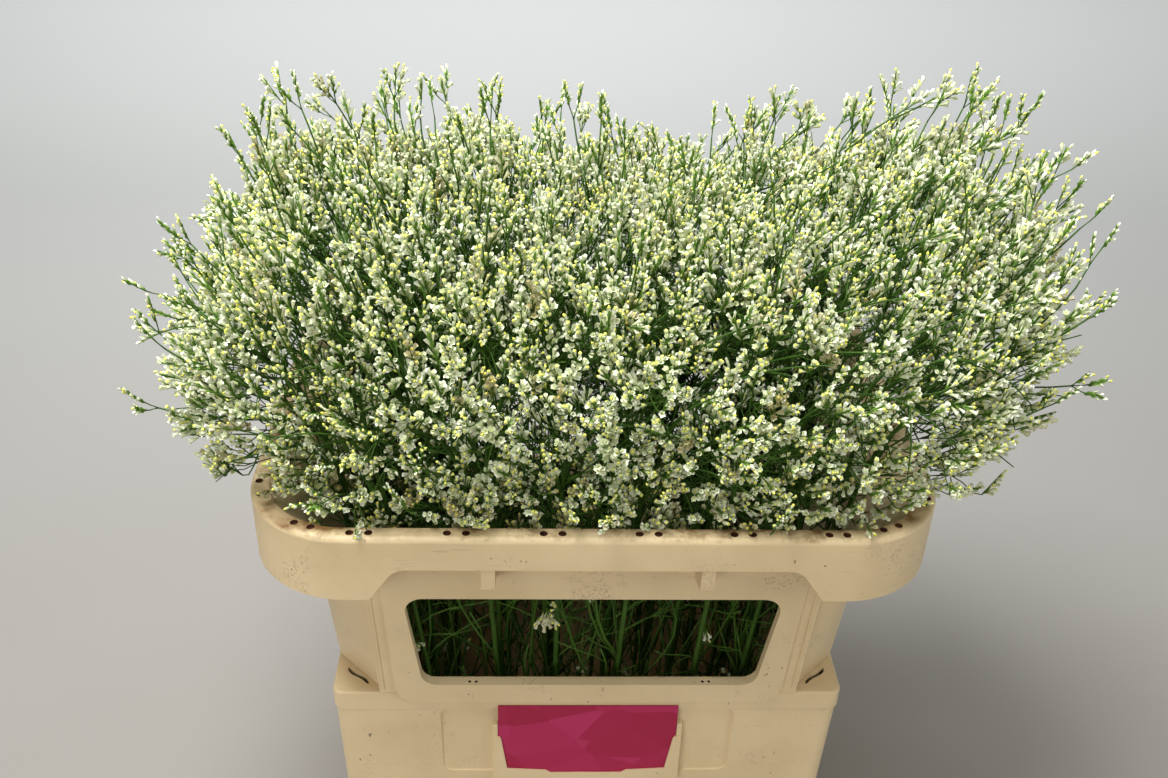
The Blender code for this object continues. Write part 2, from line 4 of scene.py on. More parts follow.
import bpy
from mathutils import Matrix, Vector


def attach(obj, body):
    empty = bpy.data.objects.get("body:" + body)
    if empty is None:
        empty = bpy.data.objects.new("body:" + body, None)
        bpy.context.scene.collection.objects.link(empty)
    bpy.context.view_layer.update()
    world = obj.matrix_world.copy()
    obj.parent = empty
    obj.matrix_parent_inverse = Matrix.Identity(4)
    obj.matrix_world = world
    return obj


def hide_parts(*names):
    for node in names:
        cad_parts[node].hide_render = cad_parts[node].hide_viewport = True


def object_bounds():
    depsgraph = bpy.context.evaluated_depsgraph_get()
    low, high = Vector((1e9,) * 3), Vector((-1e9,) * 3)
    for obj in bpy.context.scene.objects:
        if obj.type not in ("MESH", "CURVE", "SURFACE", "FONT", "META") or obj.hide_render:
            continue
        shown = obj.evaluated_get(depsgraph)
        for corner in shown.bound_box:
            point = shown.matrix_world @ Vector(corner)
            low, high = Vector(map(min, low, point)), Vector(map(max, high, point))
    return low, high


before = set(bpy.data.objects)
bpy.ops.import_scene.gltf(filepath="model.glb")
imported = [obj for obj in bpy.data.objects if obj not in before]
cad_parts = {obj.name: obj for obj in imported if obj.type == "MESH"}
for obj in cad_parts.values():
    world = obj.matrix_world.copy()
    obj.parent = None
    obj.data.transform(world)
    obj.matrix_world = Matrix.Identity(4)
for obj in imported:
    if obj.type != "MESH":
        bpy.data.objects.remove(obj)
cad_box = [list(c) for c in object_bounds()]

import math

import bmesh
import bpy
import numpy as np
from mathutils import Matrix, Vector

# ---------------------------------------------------------------- sizes shared with the part
GAP = 0.0003
BUCKET_H = 0.285
BUCKET_TOP = (0.200, 0.150)
BUCKET_FACE = (0.1992, 0.1490)
BUCKET_FOOT = (0.1945, 0.1447)
BAND_H = 0.018
WALL = 0.0036
FLOOR_T = 0.005
FLANGE_T = 0.003
MOUTH = (0.189, 0.139)
MOUTH_CUT = 0.037
SLOT_SUM = 0.3135
RIM_Z = 0.189
RIM = (0.245, 0.1955)
RIM_R = 0.072
RIM_IN = (0.2315, 0.1822)
COLLAR_FOOT = (0.1985, 0.1485)
COLLAR_CUT = 0.040
DRAFT = 0.106
COLLAR_T = 0.0028
LIP = (0.1885, 0.1385)
LIP_DROP = 0.012
SKIRT_MID, SKIRT_CORNER = 0.0275, 0.054
WIN_TOP, WIN_BOT = (0.1392, 0.1085), (0.1283, 0.0134)
WIN_R = 0.013
FRAME_TOP, FRAME_BOT = (0.1680, 0.150), (0.1625, 0.005)
TAB_X, TAB_W, TAB_DROP = 0.0755, 0.0095, 0.0195
CARD_W, CARD_TOP, CARD_BOT, CARD_T = 0.1426, -0.0138, -0.0925, 0.0008
POCKET_HX, POCKET_TOP, POCKET_LOW = 0.0757, -0.034, -0.098
LIP_OUTLINE = ((0.0700, -0.0475), (0.0690, -0.0495), (0.0642, -0.0845), (0.0330, -0.0865),
               (0.0290, -0.0895))
PANEL_HX, PANEL_TOP, PANEL_BOT = 0.1155, -0.019, -0.091
COLUMNS, ROWS = 8, 6
FOOT_SPAN = (0.166, 0.116)
FOOT_Z = 0.0075
LANE = 0.023
CLOUD_MID = (0.020, 0.0, 0.519)
CLOUD_AXES = (0.326, 0.208, 0.158)
CLOUD_POWER = 3.4
SPRAYS = 5
R_FOOT, R_FORK, R_TOP = 0.0024, 0.0018, 0.0012
SPRAY_R, SPRAY_LEN = 0.0046, 0.044
SEED = 4127


# ---------------------------------------------------------------- node materials
def shader(name, rough, specular=0.5):
    m = bpy.data.materials.new(name)
    m.use_nodes = True
    b = m.node_tree.nodes["Principled BSDF"]
    b.inputs["Roughness"].default_value = rough
    b.inputs["Specular IOR Level"].default_value = specular
    return m, m.node_tree, b


def node(nt, kind, links=(), **values):
    n = nt.nodes.new(kind)
    for key, value in values.items():
        if hasattr(n, key):
            setattr(n, key, value)
    for socket, source in links:
        if isinstance(source, bpy.types.NodeSocket):
            nt.links.new(source, n.inputs[socket])
        else:
            n.inputs[socket].default_value = source
    return n


def ramp(nt, source, stops):
    n = nt.nodes.new("ShaderNodeValToRGB")
    nt.links.new(source, n.inputs[0])
    els = n.color_ramp.elements
    while len(els) < len(stops):
        els.new(0.5)
    for e, (at, colour) in zip(els, stops):
        e.position = at
        e.color = (*colour, 1.0) if len(colour) == 3 else colour
    return n.outputs[0]


def mix(nt, factor, a, b, blend="MIX"):
    n = nt.nodes.new("ShaderNodeMix")
    n.data_type = "RGBA"
    n.blend_type = blend
    for socket, value in ((n.inputs[0], factor), (n.inputs[6], a), (n.inputs[7], b)):
        if isinstance(value, bpy.types.NodeSocket):
            nt.links.new(value, socket)
        elif isinstance(value, tuple):
            socket.default_value = (*value, 1.0)
        else:
            socket.default_value = value
    return n.outputs[2]


def maths(nt, operation, a, b=None, c=None, clamp=False):
    n = nt.nodes.new("ShaderNodeMath")
    n.operation = operation
    n.use_clamp = clamp
    for socket, value in zip(n.inputs, (a, b, c)):
        if value is None:
            continue
        if isinstance(value, bpy.types.NodeSocket):
            nt.links.new(value, socket)
        else:
            socket.default_value = value
    return n.outputs[0]


def noise(nt, vector, scale, detail=3.0, rough=0.55, out=0):
    n = node(nt, "ShaderNodeTexNoise", [("Vector", vector), ("Scale", scale),
                                        ("Detail", detail), ("Roughness", rough)])
    return n.outputs[out]


def mapped(nt, vector, scale=(1, 1, 1), rotation=(0, 0, 0), location=(0, 0, 0)):
    n = node(nt, "ShaderNodeMapping", [("Vector", vector), ("Scale", scale),
                                       ("Rotation", rotation), ("Location", location)])
    return n.outputs[0]


def step(nt, value, low, high):
    n = node(nt, "ShaderNodeMapRange", [("Value", value), ("From Min", low), ("From Max", high)])
    n.interpolation_type = "SMOOTHSTEP"
    return n.outputs[0]


def plastic(name, tone, rim_dirt):
    m, nt, b = shader(name, 0.46, 0.42)
    place = node(nt, "ShaderNodeTexCoord").outputs["Object"]
    xyz = node(nt, "ShaderNodeSeparateXYZ", [(0, place)])
    light = tuple(min(1.0, c * 1.07) for c in tone)
    deep = (tone[0] * 0.88, tone[1] * 0.86, tone[2] * 0.80)
    base = ramp(nt, noise(nt, place, 9.0, 4.0), [(0.30, deep), (0.70, light)])
    # faint upright flow marks left by the mould
    flow = noise(nt, mapped(nt, place, (1.0, 1.0, 0.03)), 210.0, 2.0)
    base = mix(nt, maths(nt, "MULTIPLY", step(nt, flow, 0.45, 0.75), 0.10), base, deep)
    # soft grey-brown handling marks in clouds
    cloud = step(nt, noise(nt, place, 21.0, 5.0, 0.65), 0.52, 0.68)
    grain = step(nt, noise(nt, place, 420.0, 3.0, 0.7), 0.48, 0.66)
    smear = maths(nt, "MULTIPLY", maths(nt, "MULTIPLY", cloud, grain), 0.52 if rim_dirt else 0.30)
    base = mix(nt, smear, base, (0.21, 0.165, 0.105))
    # short dark scratches, few and clustered
    bent = mapped(nt, place, (1.0, 1.0, 0.34), (0.0, 0.5, 0.35))
    cut = noise(nt, bent, 165.0, 4.0, 0.6)
    patchy = step(nt, noise(nt, place, 15.0, 2.0), 0.58, 0.66)
    scratch = maths(nt, "MULTIPLY", step(nt, cut, 0.675, 0.70), patchy)
    base = mix(nt, maths(nt, "MULTIPLY", scratch, 0.85), base, (0.055, 0.045, 0.035))
    # faint grey rubbing, level on the collar's skirt
    if rim_dirt:
        rub = noise(nt, mapped(nt, place, (0.10, 0.10, 1.0)), 260.0, 3.0, 0.6)
        where = step(nt, noise(nt, place, 11.0, 2.0), 0.46, 0.62)
        rub = maths(nt, "MULTIPLY", maths(nt, "MULTIPLY", step(nt, rub, 0.57, 0.70), where),
                    step(nt, xyz.outputs[2], 0.410, 0.424))
        base = mix(nt, maths(nt, "MULTIPLY", rub, 0.50), base, (0.26, 0.215, 0.15))
    # small specks
    speck = node(nt, "ShaderNodeTexVoronoi", [("Vector", place), ("Scale", 95.0)])
    dots = maths(nt, "MULTIPLY", maths(nt, "LESS_THAN", speck.outputs["Distance"], 0.075),
                 step(nt, noise(nt, place, 30.0, 2.0), 0.55, 0.6))
    base = mix(nt, maths(nt, "MULTIPLY", dots, 0.75), base, (0.07, 0.045, 0.03))
    if rim_dirt:
        # plant stain on the top of the rim, worst along its inner edge
        top = step(nt, xyz.outputs[2], BUCKET_H + RIM_Z - 0.0035, BUCKET_H + RIM_Z - 0.0004)
        stain = step(nt, noise(nt, place, 75.0, 5.0, 0.7), 0.42, 0.70)
        front = maths(nt, "ABSOLUTE", xyz.outputs[1])
        side = maths(nt, "ABSOLUTE", xyz.outputs[0])
        inner = maths(nt, "MINIMUM", step(nt, front, RIM_IN[1] + 0.008, RIM_IN[1] - 0.001),
                      step(nt, side, RIM_IN[0] + 0.008, RIM_IN[0] - 0.001))
        amount = maths(nt, "MULTIPLY", maths(nt, "ADD", maths(nt, "MULTIPLY", stain, 0.52),
                                             maths(nt, "MULTIPLY", inner, 0.60)), top)
        patch = step(nt, noise(nt, place, 14.0, 3.0, 0.6), 0.40, 0.62)
        amount = maths(nt, "MULTIPLY", amount, maths(nt, "ADD", maths(nt, "MULTIPLY", patch, 0.9),
                                                     0.55), clamp=True)
        base = mix(nt, amount, base, (0.20, 0.105, 0.034))
    nt.links.new(base, b.inputs["Base Color"])
    height = maths(nt, "ADD", maths(nt, "MULTIPLY", noise(nt, place, 640.0, 2.0), 0.5),
                   maths(nt, "MULTIPLY", scratch, -0.8))
    bump = node(nt, "ShaderNodeBump", [("Strength", 0.10), ("Distance", 0.0006),
                                       ("Height", height)])
    nt.links.new(bump.outputs[0], b.inputs["Normal"])
    return m


def rust():
    m, nt, b = shader("hole_rust", 0.85, 0.2)
    place = node(nt, "ShaderNodeTexCoord").outputs["Object"]
    base = ramp(nt, noise(nt, place, 900.0, 3.0), [(0.35, (0.020, 0.010, 0.006)),
                                                    (0.75, (0.16, 0.055, 0.022))])
    nt.links.new(base, b.inputs["Base Color"])
    return m


def card_paper():
    m, nt, b = shader("card_magenta", 0.42, 0.22)
    place = node(nt, "ShaderNodeTexCoord").outputs["Object"]
    facet = node(nt, "ShaderNodeTexVoronoi", [
        ("Vector", mapped(nt, place, (1.0, 0.2, 1.45), (0.0, 0.55, 0.0))), ("Scale", 26.0)])
    level = node(nt, "ShaderNodeSeparateColor", [(0, facet.outputs["Color"])]).outputs[0]
    base = ramp(nt, level, [(0.0, (0.350, 0.012, 0.052)), (0.5, (0.410, 0.017, 0.078)),
                            (1.0, (0.470, 0.028, 0.118))])
    fibre = noise(nt, mapped(nt, place, (1, 1, 2.5)), 900.0, 2.0)
    base = mix(nt, maths(nt, "MULTIPLY", fibre, 0.06), base, (0.50, 0.10, 0.17))
    nt.links.new(base, b.inputs["Base Color"])
    return m


def plant(name, rough, build, specular=0.14):
    """A material that reads the tint stored on the mesh: along a part, by chance, by age; on the
    stems the age channel carries painted shade.
    """
    m, nt, b = shader(name, rough, specular)
    tint = node(nt, "ShaderNodeAttribute")
    tint.attribute_name = "tint"
    parts = node(nt, "ShaderNodeSeparateColor", [(0, tint.outputs["Color"])]).outputs
    place = node(nt, "ShaderNodeTexCoord").outputs["Object"]
    nt.links.new(build(nt, parts[0], parts[1], parts[2], place), b.inputs["Base Color"])
    return m


def stem_green(nt, along, chance, age, place):
    base = ramp(nt, noise(nt, mapped(nt, place, (1, 1, 0.25)), 300.0, 3.0),
                [(0.3, (0.022, 0.062, 0.008)), (0.7, (0.060, 0.132, 0.018))])
    base = mix(nt, maths(nt, "MULTIPLY", chance, 0.55), base, (0.085, 0.170, 0.026))
    # the age channel darkens the stem green towards near-black: painted shade, slight on trunks and
    # branches, strongest on the bare and thicket twigs deep in the bunch
    return mix(nt, age, base, (0.012, 0.030, 0.005))


def bract_green(nt, along, chance, age, place):
    base = ramp(nt, along, [(0.0, (0.050, 0.120, 0.012)), (0.6, (0.130, 0.250, 0.028)),
                            (1.0, (0.250, 0.350, 0.070))])
    base = mix(nt, maths(nt, "MULTIPLY", noise(nt, place, 500.0, 2.0), 0.5), base,
               (0.070, 0.150, 0.018))
    base = mix(nt, maths(nt, "MULTIPLY", chance, 0.4), base, (0.040, 0.100, 0.012))
    return mix(nt, maths(nt, "MULTIPLY", age, 0.5), base, (0.22, 0.18, 0.060))


def calyx_white(nt, along, chance, age, place):
    base = ramp(nt, along, [(0.0, (0.140, 0.240, 0.035)), (0.28, (0.400, 0.510, 0.170)),
                            (0.52, (0.730, 0.780, 0.510)), (1.0, (0.880, 0.905, 0.810))])
    pleat = noise(nt, place, 1500.0, 2.0)
    base = mix(nt, maths(nt, "MULTIPLY", step(nt, pleat, 0.45, 0.7), 0.25), base,
               (0.56, 0.63, 0.34))
    base = mix(nt, maths(nt, "MULTIPLY", step(nt, chance, 0.45, 1.0), 0.55), base,
               (0.60, 0.67, 0.33))
    return mix(nt, age, base, (0.50, 0.43, 0.22))


def bud_yellow(nt, along, chance, age, place):
    base = ramp(nt, along, [(0.0, (0.56, 0.66, 0.20)), (0.5, (0.80, 0.82, 0.10)),
                            (1.0, (0.90, 0.90, 0.22))])
    base = mix(nt, maths(nt, "MULTIPLY", step(nt, chance, 0.35, 1.0), 0.40), base,
               (0.84, 0.89, 0.42))
    base = mix(nt, maths(nt, "MULTIPLY", noise(nt, place, 900.0, 2.0), 0.15), base,
               (0.74, 0.70, 0.07))
    return mix(nt, maths(nt, "MULTIPLY", age, 0.6), base, (0.55, 0.40, 0.10))


# ---------------------------------------------------------------- outlines, lofts, cuts
def add_object(name, bm, *mats):
    bmesh.ops.recalc_face_normals(bm, faces=bm.faces[:])
    me = bpy.data.meshes.new(name)
    bm.to_mesh(me)
    bm.free()
    ob = bpy.data.objects.new(name, me)
    bpy.context.scene.collection.objects.link(ob)
    for m in mats:
        me.materials.append(m)
    return ob


def outline(hx, hy, cut, bulge, segs=14, xs=(), ys=()):
    quarter = []
    for i, y in enumerate(ys):
        quarter.append((hx, min(y, hy - cut - 0.0004 * (len(ys) - i))))
    for i in range(segs + 1):
        t = i / segs
        a = t * math.pi / 2
        arc = (hx - cut + cut * math.cos(a), hy - cut + cut * math.sin(a))
        line = (hx - cut * t, hy - cut * (1 - t))
        quarter.append(tuple(l + (c - l) * bulge for l, c in zip(line, arc)))
    for i, x in reversed(list(enumerate(xs))):
        quarter.append((min(x, hx - cut - 0.0004 * (len(xs) - i)), hy))
    left = [(-x, y) for x, y in reversed(quarter)]
    top = quarter + left
    return top + [(-x, -y) for x, y in top]


def loft(bm, rings, loop=False):
    rows = [[bm.verts.new(p) for p in ring] for ring in rings]
    pairs = list(zip(rows, rows[1:]))
    if loop:
        pairs.append((rows[-1], rows[0]))
    n = len(rows[0])
    for lo, up in pairs:
        for i in range(n):
            j = (i + 1) % n
            bm.faces.new((lo[i], lo[j], up[j], up[i]))
    if not loop:
        bm.faces.new(list(reversed(rows[0])))
        bm.faces.new(rows[-1])
    return rows


def rounded(points, radius, segs=8):
    out = []
    n = len(points)
    for i in range(n):
        p, a, b = (Vector(points[k]) for k in (i, i - 1, (i + 1) % n))
        u, v = (a - p).normalized(), (b - p).normalized()
        half = math.acos(max(-1.0, min(1.0, u.dot(v)))) / 2
        reach = radius / math.tan(half)
        mid = p + (u + v).normalized() * radius / math.sin(half)
        s, e = p + u * reach - mid, p + v * reach - mid
        turn = s.angle_signed(e)
        for k in range(segs + 1):
            ang = -turn * k / segs
            c, q = math.cos(ang), math.sin(ang)
            out.append((mid.x + s.x * c - s.y * q, mid.y + s.x * q + s.y * c))
    return out


def slab(points, front, back):
    bm = bmesh.new()
    loft(bm, [[(x, front(z), z) for x, z in points], [(x, back(z), z) for x, z in points]])
    return bm


def boolean(ob, bm, operation, *mats):
    """Applies a cut or a join straight away, so that nothing is left over."""
    other = add_object("tool", bm, *(mats or (ob.data.materials[0],)))
    m = ob.modifiers.new("tool", "BOOLEAN")
    m.object = other
    m.operation = operation
    m.solver = "EXACT"
    m.material_mode = "TRANSFER"
    bake_modifiers(ob)
    bpy.data.objects.remove(other, do_unlink=True)


def bake_modifiers(ob):
    dg = bpy.context.evaluated_depsgraph_get()
    dg.update()
    made = bpy.data.meshes.new_from_object(ob.evaluated_get(dg))
    old = ob.data
    ob.modifiers.clear()
    ob.data = made
    bpy.data.meshes.remove(old)


def soften(ob, width, segments, angle):
    m = ob.modifiers.new("edges", "BEVEL")
    m.width = width
    m.segments = segments
    m.limit_method = "ANGLE"
    m.angle_limit = math.radians(angle)
    m.use_clamp_overlap = True
    m.harden_normals = False
    bake_modifiers(ob)
    ob.data.shade_smooth()
    ob.data.set_sharp_from_angle(angle=math.radians(48))


def even_shading(ob):
    """Large flat faces lead the shading next to small ones; sharp edges stay sharp."""
    ob.data.shade_smooth()
    ob.data.set_sharp_from_angle(angle=math.radians(48))
    m = ob.modifiers.new("weights", "WEIGHTED_NORMAL")
    m.mode = "FACE_AREA"
    m.weight = 60
    m.keep_sharp = True
    bake_modifiers(ob)


def place(ob, *nodes, slot):
    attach(ob, "root")
    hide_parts(*nodes)
    return ob


# ---------------------------------------------------------------- bucket
def bucket_half(z):
    t = max(0.0, min(1.0, z / (BUCKET_H - BAND_H)))
    return tuple(f + (e - f) * t for f, e in zip(BUCKET_FOOT, BUCKET_FACE))


def make_bucket(mat):
    top, band = BUCKET_H, BUCKET_H - BAND_H
    under = top - FLANGE_T
    rings = []

    def ring(hx, hy, cut, bulge, z):
        rings.append([(x, y, z) for x, y in outline(hx, hy, cut, bulge)])
    for k in range(5):           # rounded foot
        a = math.pi / 2 * k / 4
        r = 0.0045
        ring(BUCKET_FOOT[0] - r * (1 - math.sin(a)), BUCKET_FOOT[1] - r * (1 - math.sin(a)),
             0.022, 1, r * (1 - math.cos(a)))
    for z in (0.06, 0.13, 0.20, band - 0.0022):
        hx, hy = bucket_half(z)
        ring(hx, hy, 0.022 - 0.013 * z / band, 1, z)
    ring(BUCKET_FACE[0] + 0.0002, BUCKET_FACE[1] + 0.0002, 0.009, 1, band - 0.0011)
    ring(BUCKET_TOP[0], BUCKET_TOP[1], 0.0085, 1, band)
    for k in range(4):           # soft top edge
        a = math.pi / 2 * k / 3
        r = 0.0016
        ring(BUCKET_TOP[0] - r * (1 - math.cos(a)), BUCKET_TOP[1] - r * (1 - math.cos(a)),
             0.008 - 0.0008 * (1 - math.cos(a)), 1, top - r * (1 - math.sin(a)))
    ring(MOUTH[0], MOUTH[1], MOUTH_CUT, 0, top)
    ring(MOUTH[0], MOUTH[1], MOUTH_CUT, 0, under)
    ring(BUCKET_FACE[0] - WALL, BUCKET_FACE[1] - WALL, 0.008, 1, under)
    ring(BUCKET_FOOT[0] - WALL, BUCKET_FOOT[1] - WALL, 0.019, 1, FLOOR_T + 0.003)
    ring(BUCKET_FOOT[0] - WALL - 0.003, BUCKET_FOOT[1] - WALL - 0.003, 0.016, 1, FLOOR_T)
    bm = bmesh.new()
    loft(bm, rings)
    ob = add_object("bucket_look", bm, mat)

    zt, zb = top + PANEL_TOP, top + PANEL_BOT
    plane = bucket_half(top + PANEL_BOT)[1] - 0.0014
    recess = rounded([(-PANEL_HX, zb), (PANEL_HX, zb), (PANEL_HX, zt), (-PANEL_HX, zt)], 0.008)
    wide = rounded([(-PANEL_HX - 0.0022, zb - 0.0018), (PANEL_HX + 0.0022, zb - 0.0018),
                    (PANEL_HX + 0.0022, zt + 0.0020), (-PANEL_HX - 0.0022, zt + 0.0020)], 0.010)
    bm = bmesh.new()             # drafted sides: wider at the face than at the recess floor
    loft(bm, [[(x, -0.1505, z) for x, z in wide], [(x, -plane, z) for x, z in recess]])
    boolean(ob, bm, "DIFFERENCE")
    back = BUCKET_TOP[1] + GAP
    front = back + CARD_T + GAP
    low = top + CARD_BOT
    inner = CARD_W / 2 + 0.0004
    rails = [(-POCKET_HX, top + POCKET_TOP), (-POCKET_HX, top + POCKET_LOW),
             (POCKET_HX, top + POCKET_LOW), (POCKET_HX, top + POCKET_TOP),
             (inner, top + POCKET_TOP), (inner, low - GAP), (-inner, low - GAP),
             (-inner, top + POCKET_TOP)]
    boolean(ob, slab(rails, lambda z: -front - 0.0001, lambda z: -plane + 0.0010), "UNION")
    edge = [(x, top + z) for x, z in LIP_OUTLINE]
    lips = [(-POCKET_HX, edge[0][1]), (-POCKET_HX, top + POCKET_LOW),
            (POCKET_HX, top + POCKET_LOW), (POCKET_HX, edge[0][1])] + edge + \
        [(-x, z) for x, z in reversed(edge)]
    boolean(ob, slab(lips, lambda z: -front - 0.0014, lambda z: -front), "UNION")
    # narrow S-shaped slots through the corner shoulders
    for sx in (-1, 1):
        for sy in (-1, 1):
            mid = ((SLOT_SUM + BUCKET_TOP[0] - BUCKET_TOP[1]) / 2,
                   (SLOT_SUM - BUCKET_TOP[0] + BUCKET_TOP[1]) / 2)
            along, across = (0.7071, -0.7071), (0.7071, 0.7071)
            sides = ([], [])
            for k in range(13):
                t = k / 12 * 2 - 1
                w = 0.0016 * math.sqrt(max(0.0, 1 - t ** 4)) + 0.00012
                off = 0.0012 * math.sin(t * math.pi)
                for side, s in zip(sides, (-1, 1)):
                    u, v = t * 0.0128, off + s * w
                    side.append((sx * (mid[0] + along[0] * u + across[0] * v),
                                 sy * (mid[1] + along[1] * u + across[1] * v)))
            loop = sides[0] + list(reversed(sides[1]))
            bm = bmesh.new()
            loft(bm, [[(x, y, top - 0.008) for x, y in loop], [(x, y, top + 0.004)
                                                               for x, y in loop]])
            boolean(ob, bm, "DIFFERENCE")
    soften(ob, 0.0006, 2, 46)
    # rows of fine moulded dashes beside the recess
    bm = bmesh.new()
    bm.from_mesh(ob.data)
    for side in (-1, 1):
        for zr in (-0.039, -0.0815):
            z = top + zr
            for k in range(7):
                x = side * (0.1285 + 0.0086 * k)
                y = -bucket_half(z)[1]
                made = bmesh.ops.create_cube(bm, size=1.0)["verts"]
                bmesh.ops.scale(bm, vec=(0.0032, 0.0010, 0.0009), verts=made)
                bmesh.ops.translate(bm, vec=(x, y, z), verts=made)
    bm.to_mesh(ob.data)
    bm.free()
    even_shading(ob)
    return place(ob, "bucket", slot="bucket_plastic")


# ---------------------------------------------------------------- collar
STEPS_X = tuple(0.1240 + 0.0022 * k for k in range(17))
STEPS_Y = tuple(0.0735 + 0.0022 * k for k in range(17))


def skirt_drop(x, y):
    """How far the skirt hangs: a rounded shoulder, a straight slope, then the deep corner."""
    along = (abs(x) - 0.1280) / 0.0290 if abs(y) > RIM[1] - 0.012 else (abs(y) - 0.0770) / 0.0290
    t = max(0.0, min(1.0, along))
    bend, power = 0.54, 3.2
    fall = bend / power * (t / bend) ** power if t < bend else bend / power + t - bend
    return SKIRT_MID + (SKIRT_CORNER - SKIRT_MID) * fall / (bend / power + 1 - bend)


def wall_half(h):
    lean = DRAFT * h
    return (COLLAR_FOOT[0] + lean, COLLAR_FOOT[1] + lean, COLLAR_CUT + 0.018 * h / 0.15,
            min(1.0, h / 0.11))


def make_collar(mat, hole_mat):
    z0 = BUCKET_H + GAP
    rim = BUCKET_H + RIM_Z
    t = COLLAR_T

    def ring(hx, hy, cut, bulge, z, drop=None):
        pts = outline(hx, hy, cut, bulge, 14, STEPS_X, STEPS_Y)
        if drop is None:
            return [(x, y, z) for x, y in pts]
        wide = outline(RIM[0], RIM[1], RIM_R, 1, 14, STEPS_X, STEPS_Y)
        return [(x, y, rim - skirt_drop(*w) + drop) for (x, y), w in zip(pts, wide)]
    neck = 0.150
    wx, wy, wc, wb = wall_half(neck)
    rings = [ring(LIP[0] - 0.0012, LIP[1] - 0.0012, MOUTH_CUT - 0.0007, 0, BUCKET_H - LIP_DROP),
             ring(LIP[0], LIP[1], MOUTH_CUT, 0, BUCKET_H - LIP_DROP + 0.0012),
             ring(LIP[0], LIP[1], MOUTH_CUT, 0, z0),
             ring(COLLAR_FOOT[0] - 0.0006, COLLAR_FOOT[1] - 0.0006, COLLAR_CUT, 0, z0),
             ring(COLLAR_FOOT[0], COLLAR_FOOT[1], COLLAR_CUT, 0, z0 + 0.0006)]
    for h in (0.020, 0.045, 0.070, 0.095, 0.120, neck):
        hx, hy, c, b = wall_half(h)
        rings.append(ring(hx, hy, c, b, BUCKET_H + h))
    for k in (0.25, 0.5, 0.75, 1.0):        # the wall flares out under the rim
        e = k ** 1.25
        rings.append(ring(wx + (RIM_IN[0] + t - wx) * e, wy + (RIM_IN[1] + t - wy) * e,
                          wc + (RIM_R - 0.011 - wc) * e, 1,
                          BUCKET_H + neck + (RIM_Z - 0.0035 - neck) * k))
    rings += [ring(RIM[0] - t - 0.001, RIM[1] - t - 0.001, RIM_R - t - 0.001, 1, rim - 0.0035),
              ring(RIM[0] - t, RIM[1] - t, RIM_R - t, 1, rim - 0.0048),
              ring(RIM[0] - t, RIM[1] - t, RIM_R - t, 1, 0, 0.0),
              ring(RIM[0] - 0.0008, RIM[1] - 0.0008, RIM_R - 0.0008, 1, 0, 0.0),
              ring(RIM[0], RIM[1], RIM_R, 1, 0, 0.0008)]
    r = 0.0042
    for k in range(7):                      # rolled outer edge
        a = math.pi / 2 * k / 6
        d = r * (1 - math.cos(a))
        rings.append(ring(RIM[0] - d, RIM[1] - d, RIM_R - d, 1, rim - r * (1 - math.sin(a))))
    rings.append(ring(RIM_IN[0] + 0.0010, RIM_IN[1] + 0.0010, RIM_R - 0.0125, 1, rim))
    rings.append(ring(RIM_IN[0], RIM_IN[1], RIM_R - 0.0135, 1, rim - 0.0010))
    for k in (0.75, 0.5, 0.25, 0.0):
        e = k ** 1.25
        rings.append(ring(wx - t + (RIM_IN[0] - wx) * e, wy - t + (RIM_IN[1] - wy) * e,
                          wc - 0.6 * t + (RIM_R - 0.0135 - wc) * e, 1,
                          BUCKET_H + neck + (RIM_Z - 0.0035 - neck) * k))
    for h in (0.120, 0.095, 0.070, 0.045, 0.020):
        hx, hy, c, b = wall_half(h)
        rings.append(ring(hx - t, hy - t, c - 0.6 * t, b, BUCKET_H + h))
    rings += [ring(COLLAR_FOOT[0] - t, COLLAR_FOOT[1] - t, COLLAR_CUT - 0.6 * t, 0, z0 + 0.004),
              ring(LIP[0] - 0.0025, LIP[1] - 0.0025, MOUTH_CUT - 0.0015, 0, z0 + 0.003),
              ring(LIP[0] - 0.0025, LIP[1] - 0.0025, MOUTH_CUT - 0.0015, 0,
                   BUCKET_H - LIP_DROP)]
    bm = bmesh.new()
    loft(bm, rings, loop=True)
    ob = add_object("collar_look", bm, mat, hole_mat)

    base = BUCKET_H
    for side in (-1, 1):
        inside = lambda z: side * (COLLAR_FOOT[1] - 0.0012 + DRAFT * (z - base))
        # outer step of the frame
        pts = [(-FRAME_BOT[0], base + 0.002), (FRAME_BOT[0], base + 0.002),
               (FRAME_BOT[0], base + FRAME_BOT[1]), (FRAME_TOP[0], base + FRAME_TOP[1]),
               (-FRAME_TOP[0], base + FRAME_TOP[1]), (-FRAME_BOT[0], base + FRAME_BOT[1])]
        boolean(ob, slab(pts, lambda z: side * (0.1515 + 0.0985 * (z - base)), inside), "UNION")
        # inner step, which runs down as an apron with cut-off corners
        pts = [(-0.1395, base - 0.0075), (0.1395, base - 0.0075), (0.1475, base + 0.0005),
               (0.1500, base + 0.010), (0.1560, base + 0.150), (-0.1560, base + 0.150),
               (-0.1500, base + 0.010), (-0.1475, base + 0.0005)]
        boolean(ob, slab(pts, lambda z: side * (0.1540 + 0.090 * (z - base)),
                         lambda z: side * max(BUCKET_TOP[1] + GAP, COLLAR_FOOT[1] - 0.0012
                                              + DRAFT * (z - base))), "UNION")
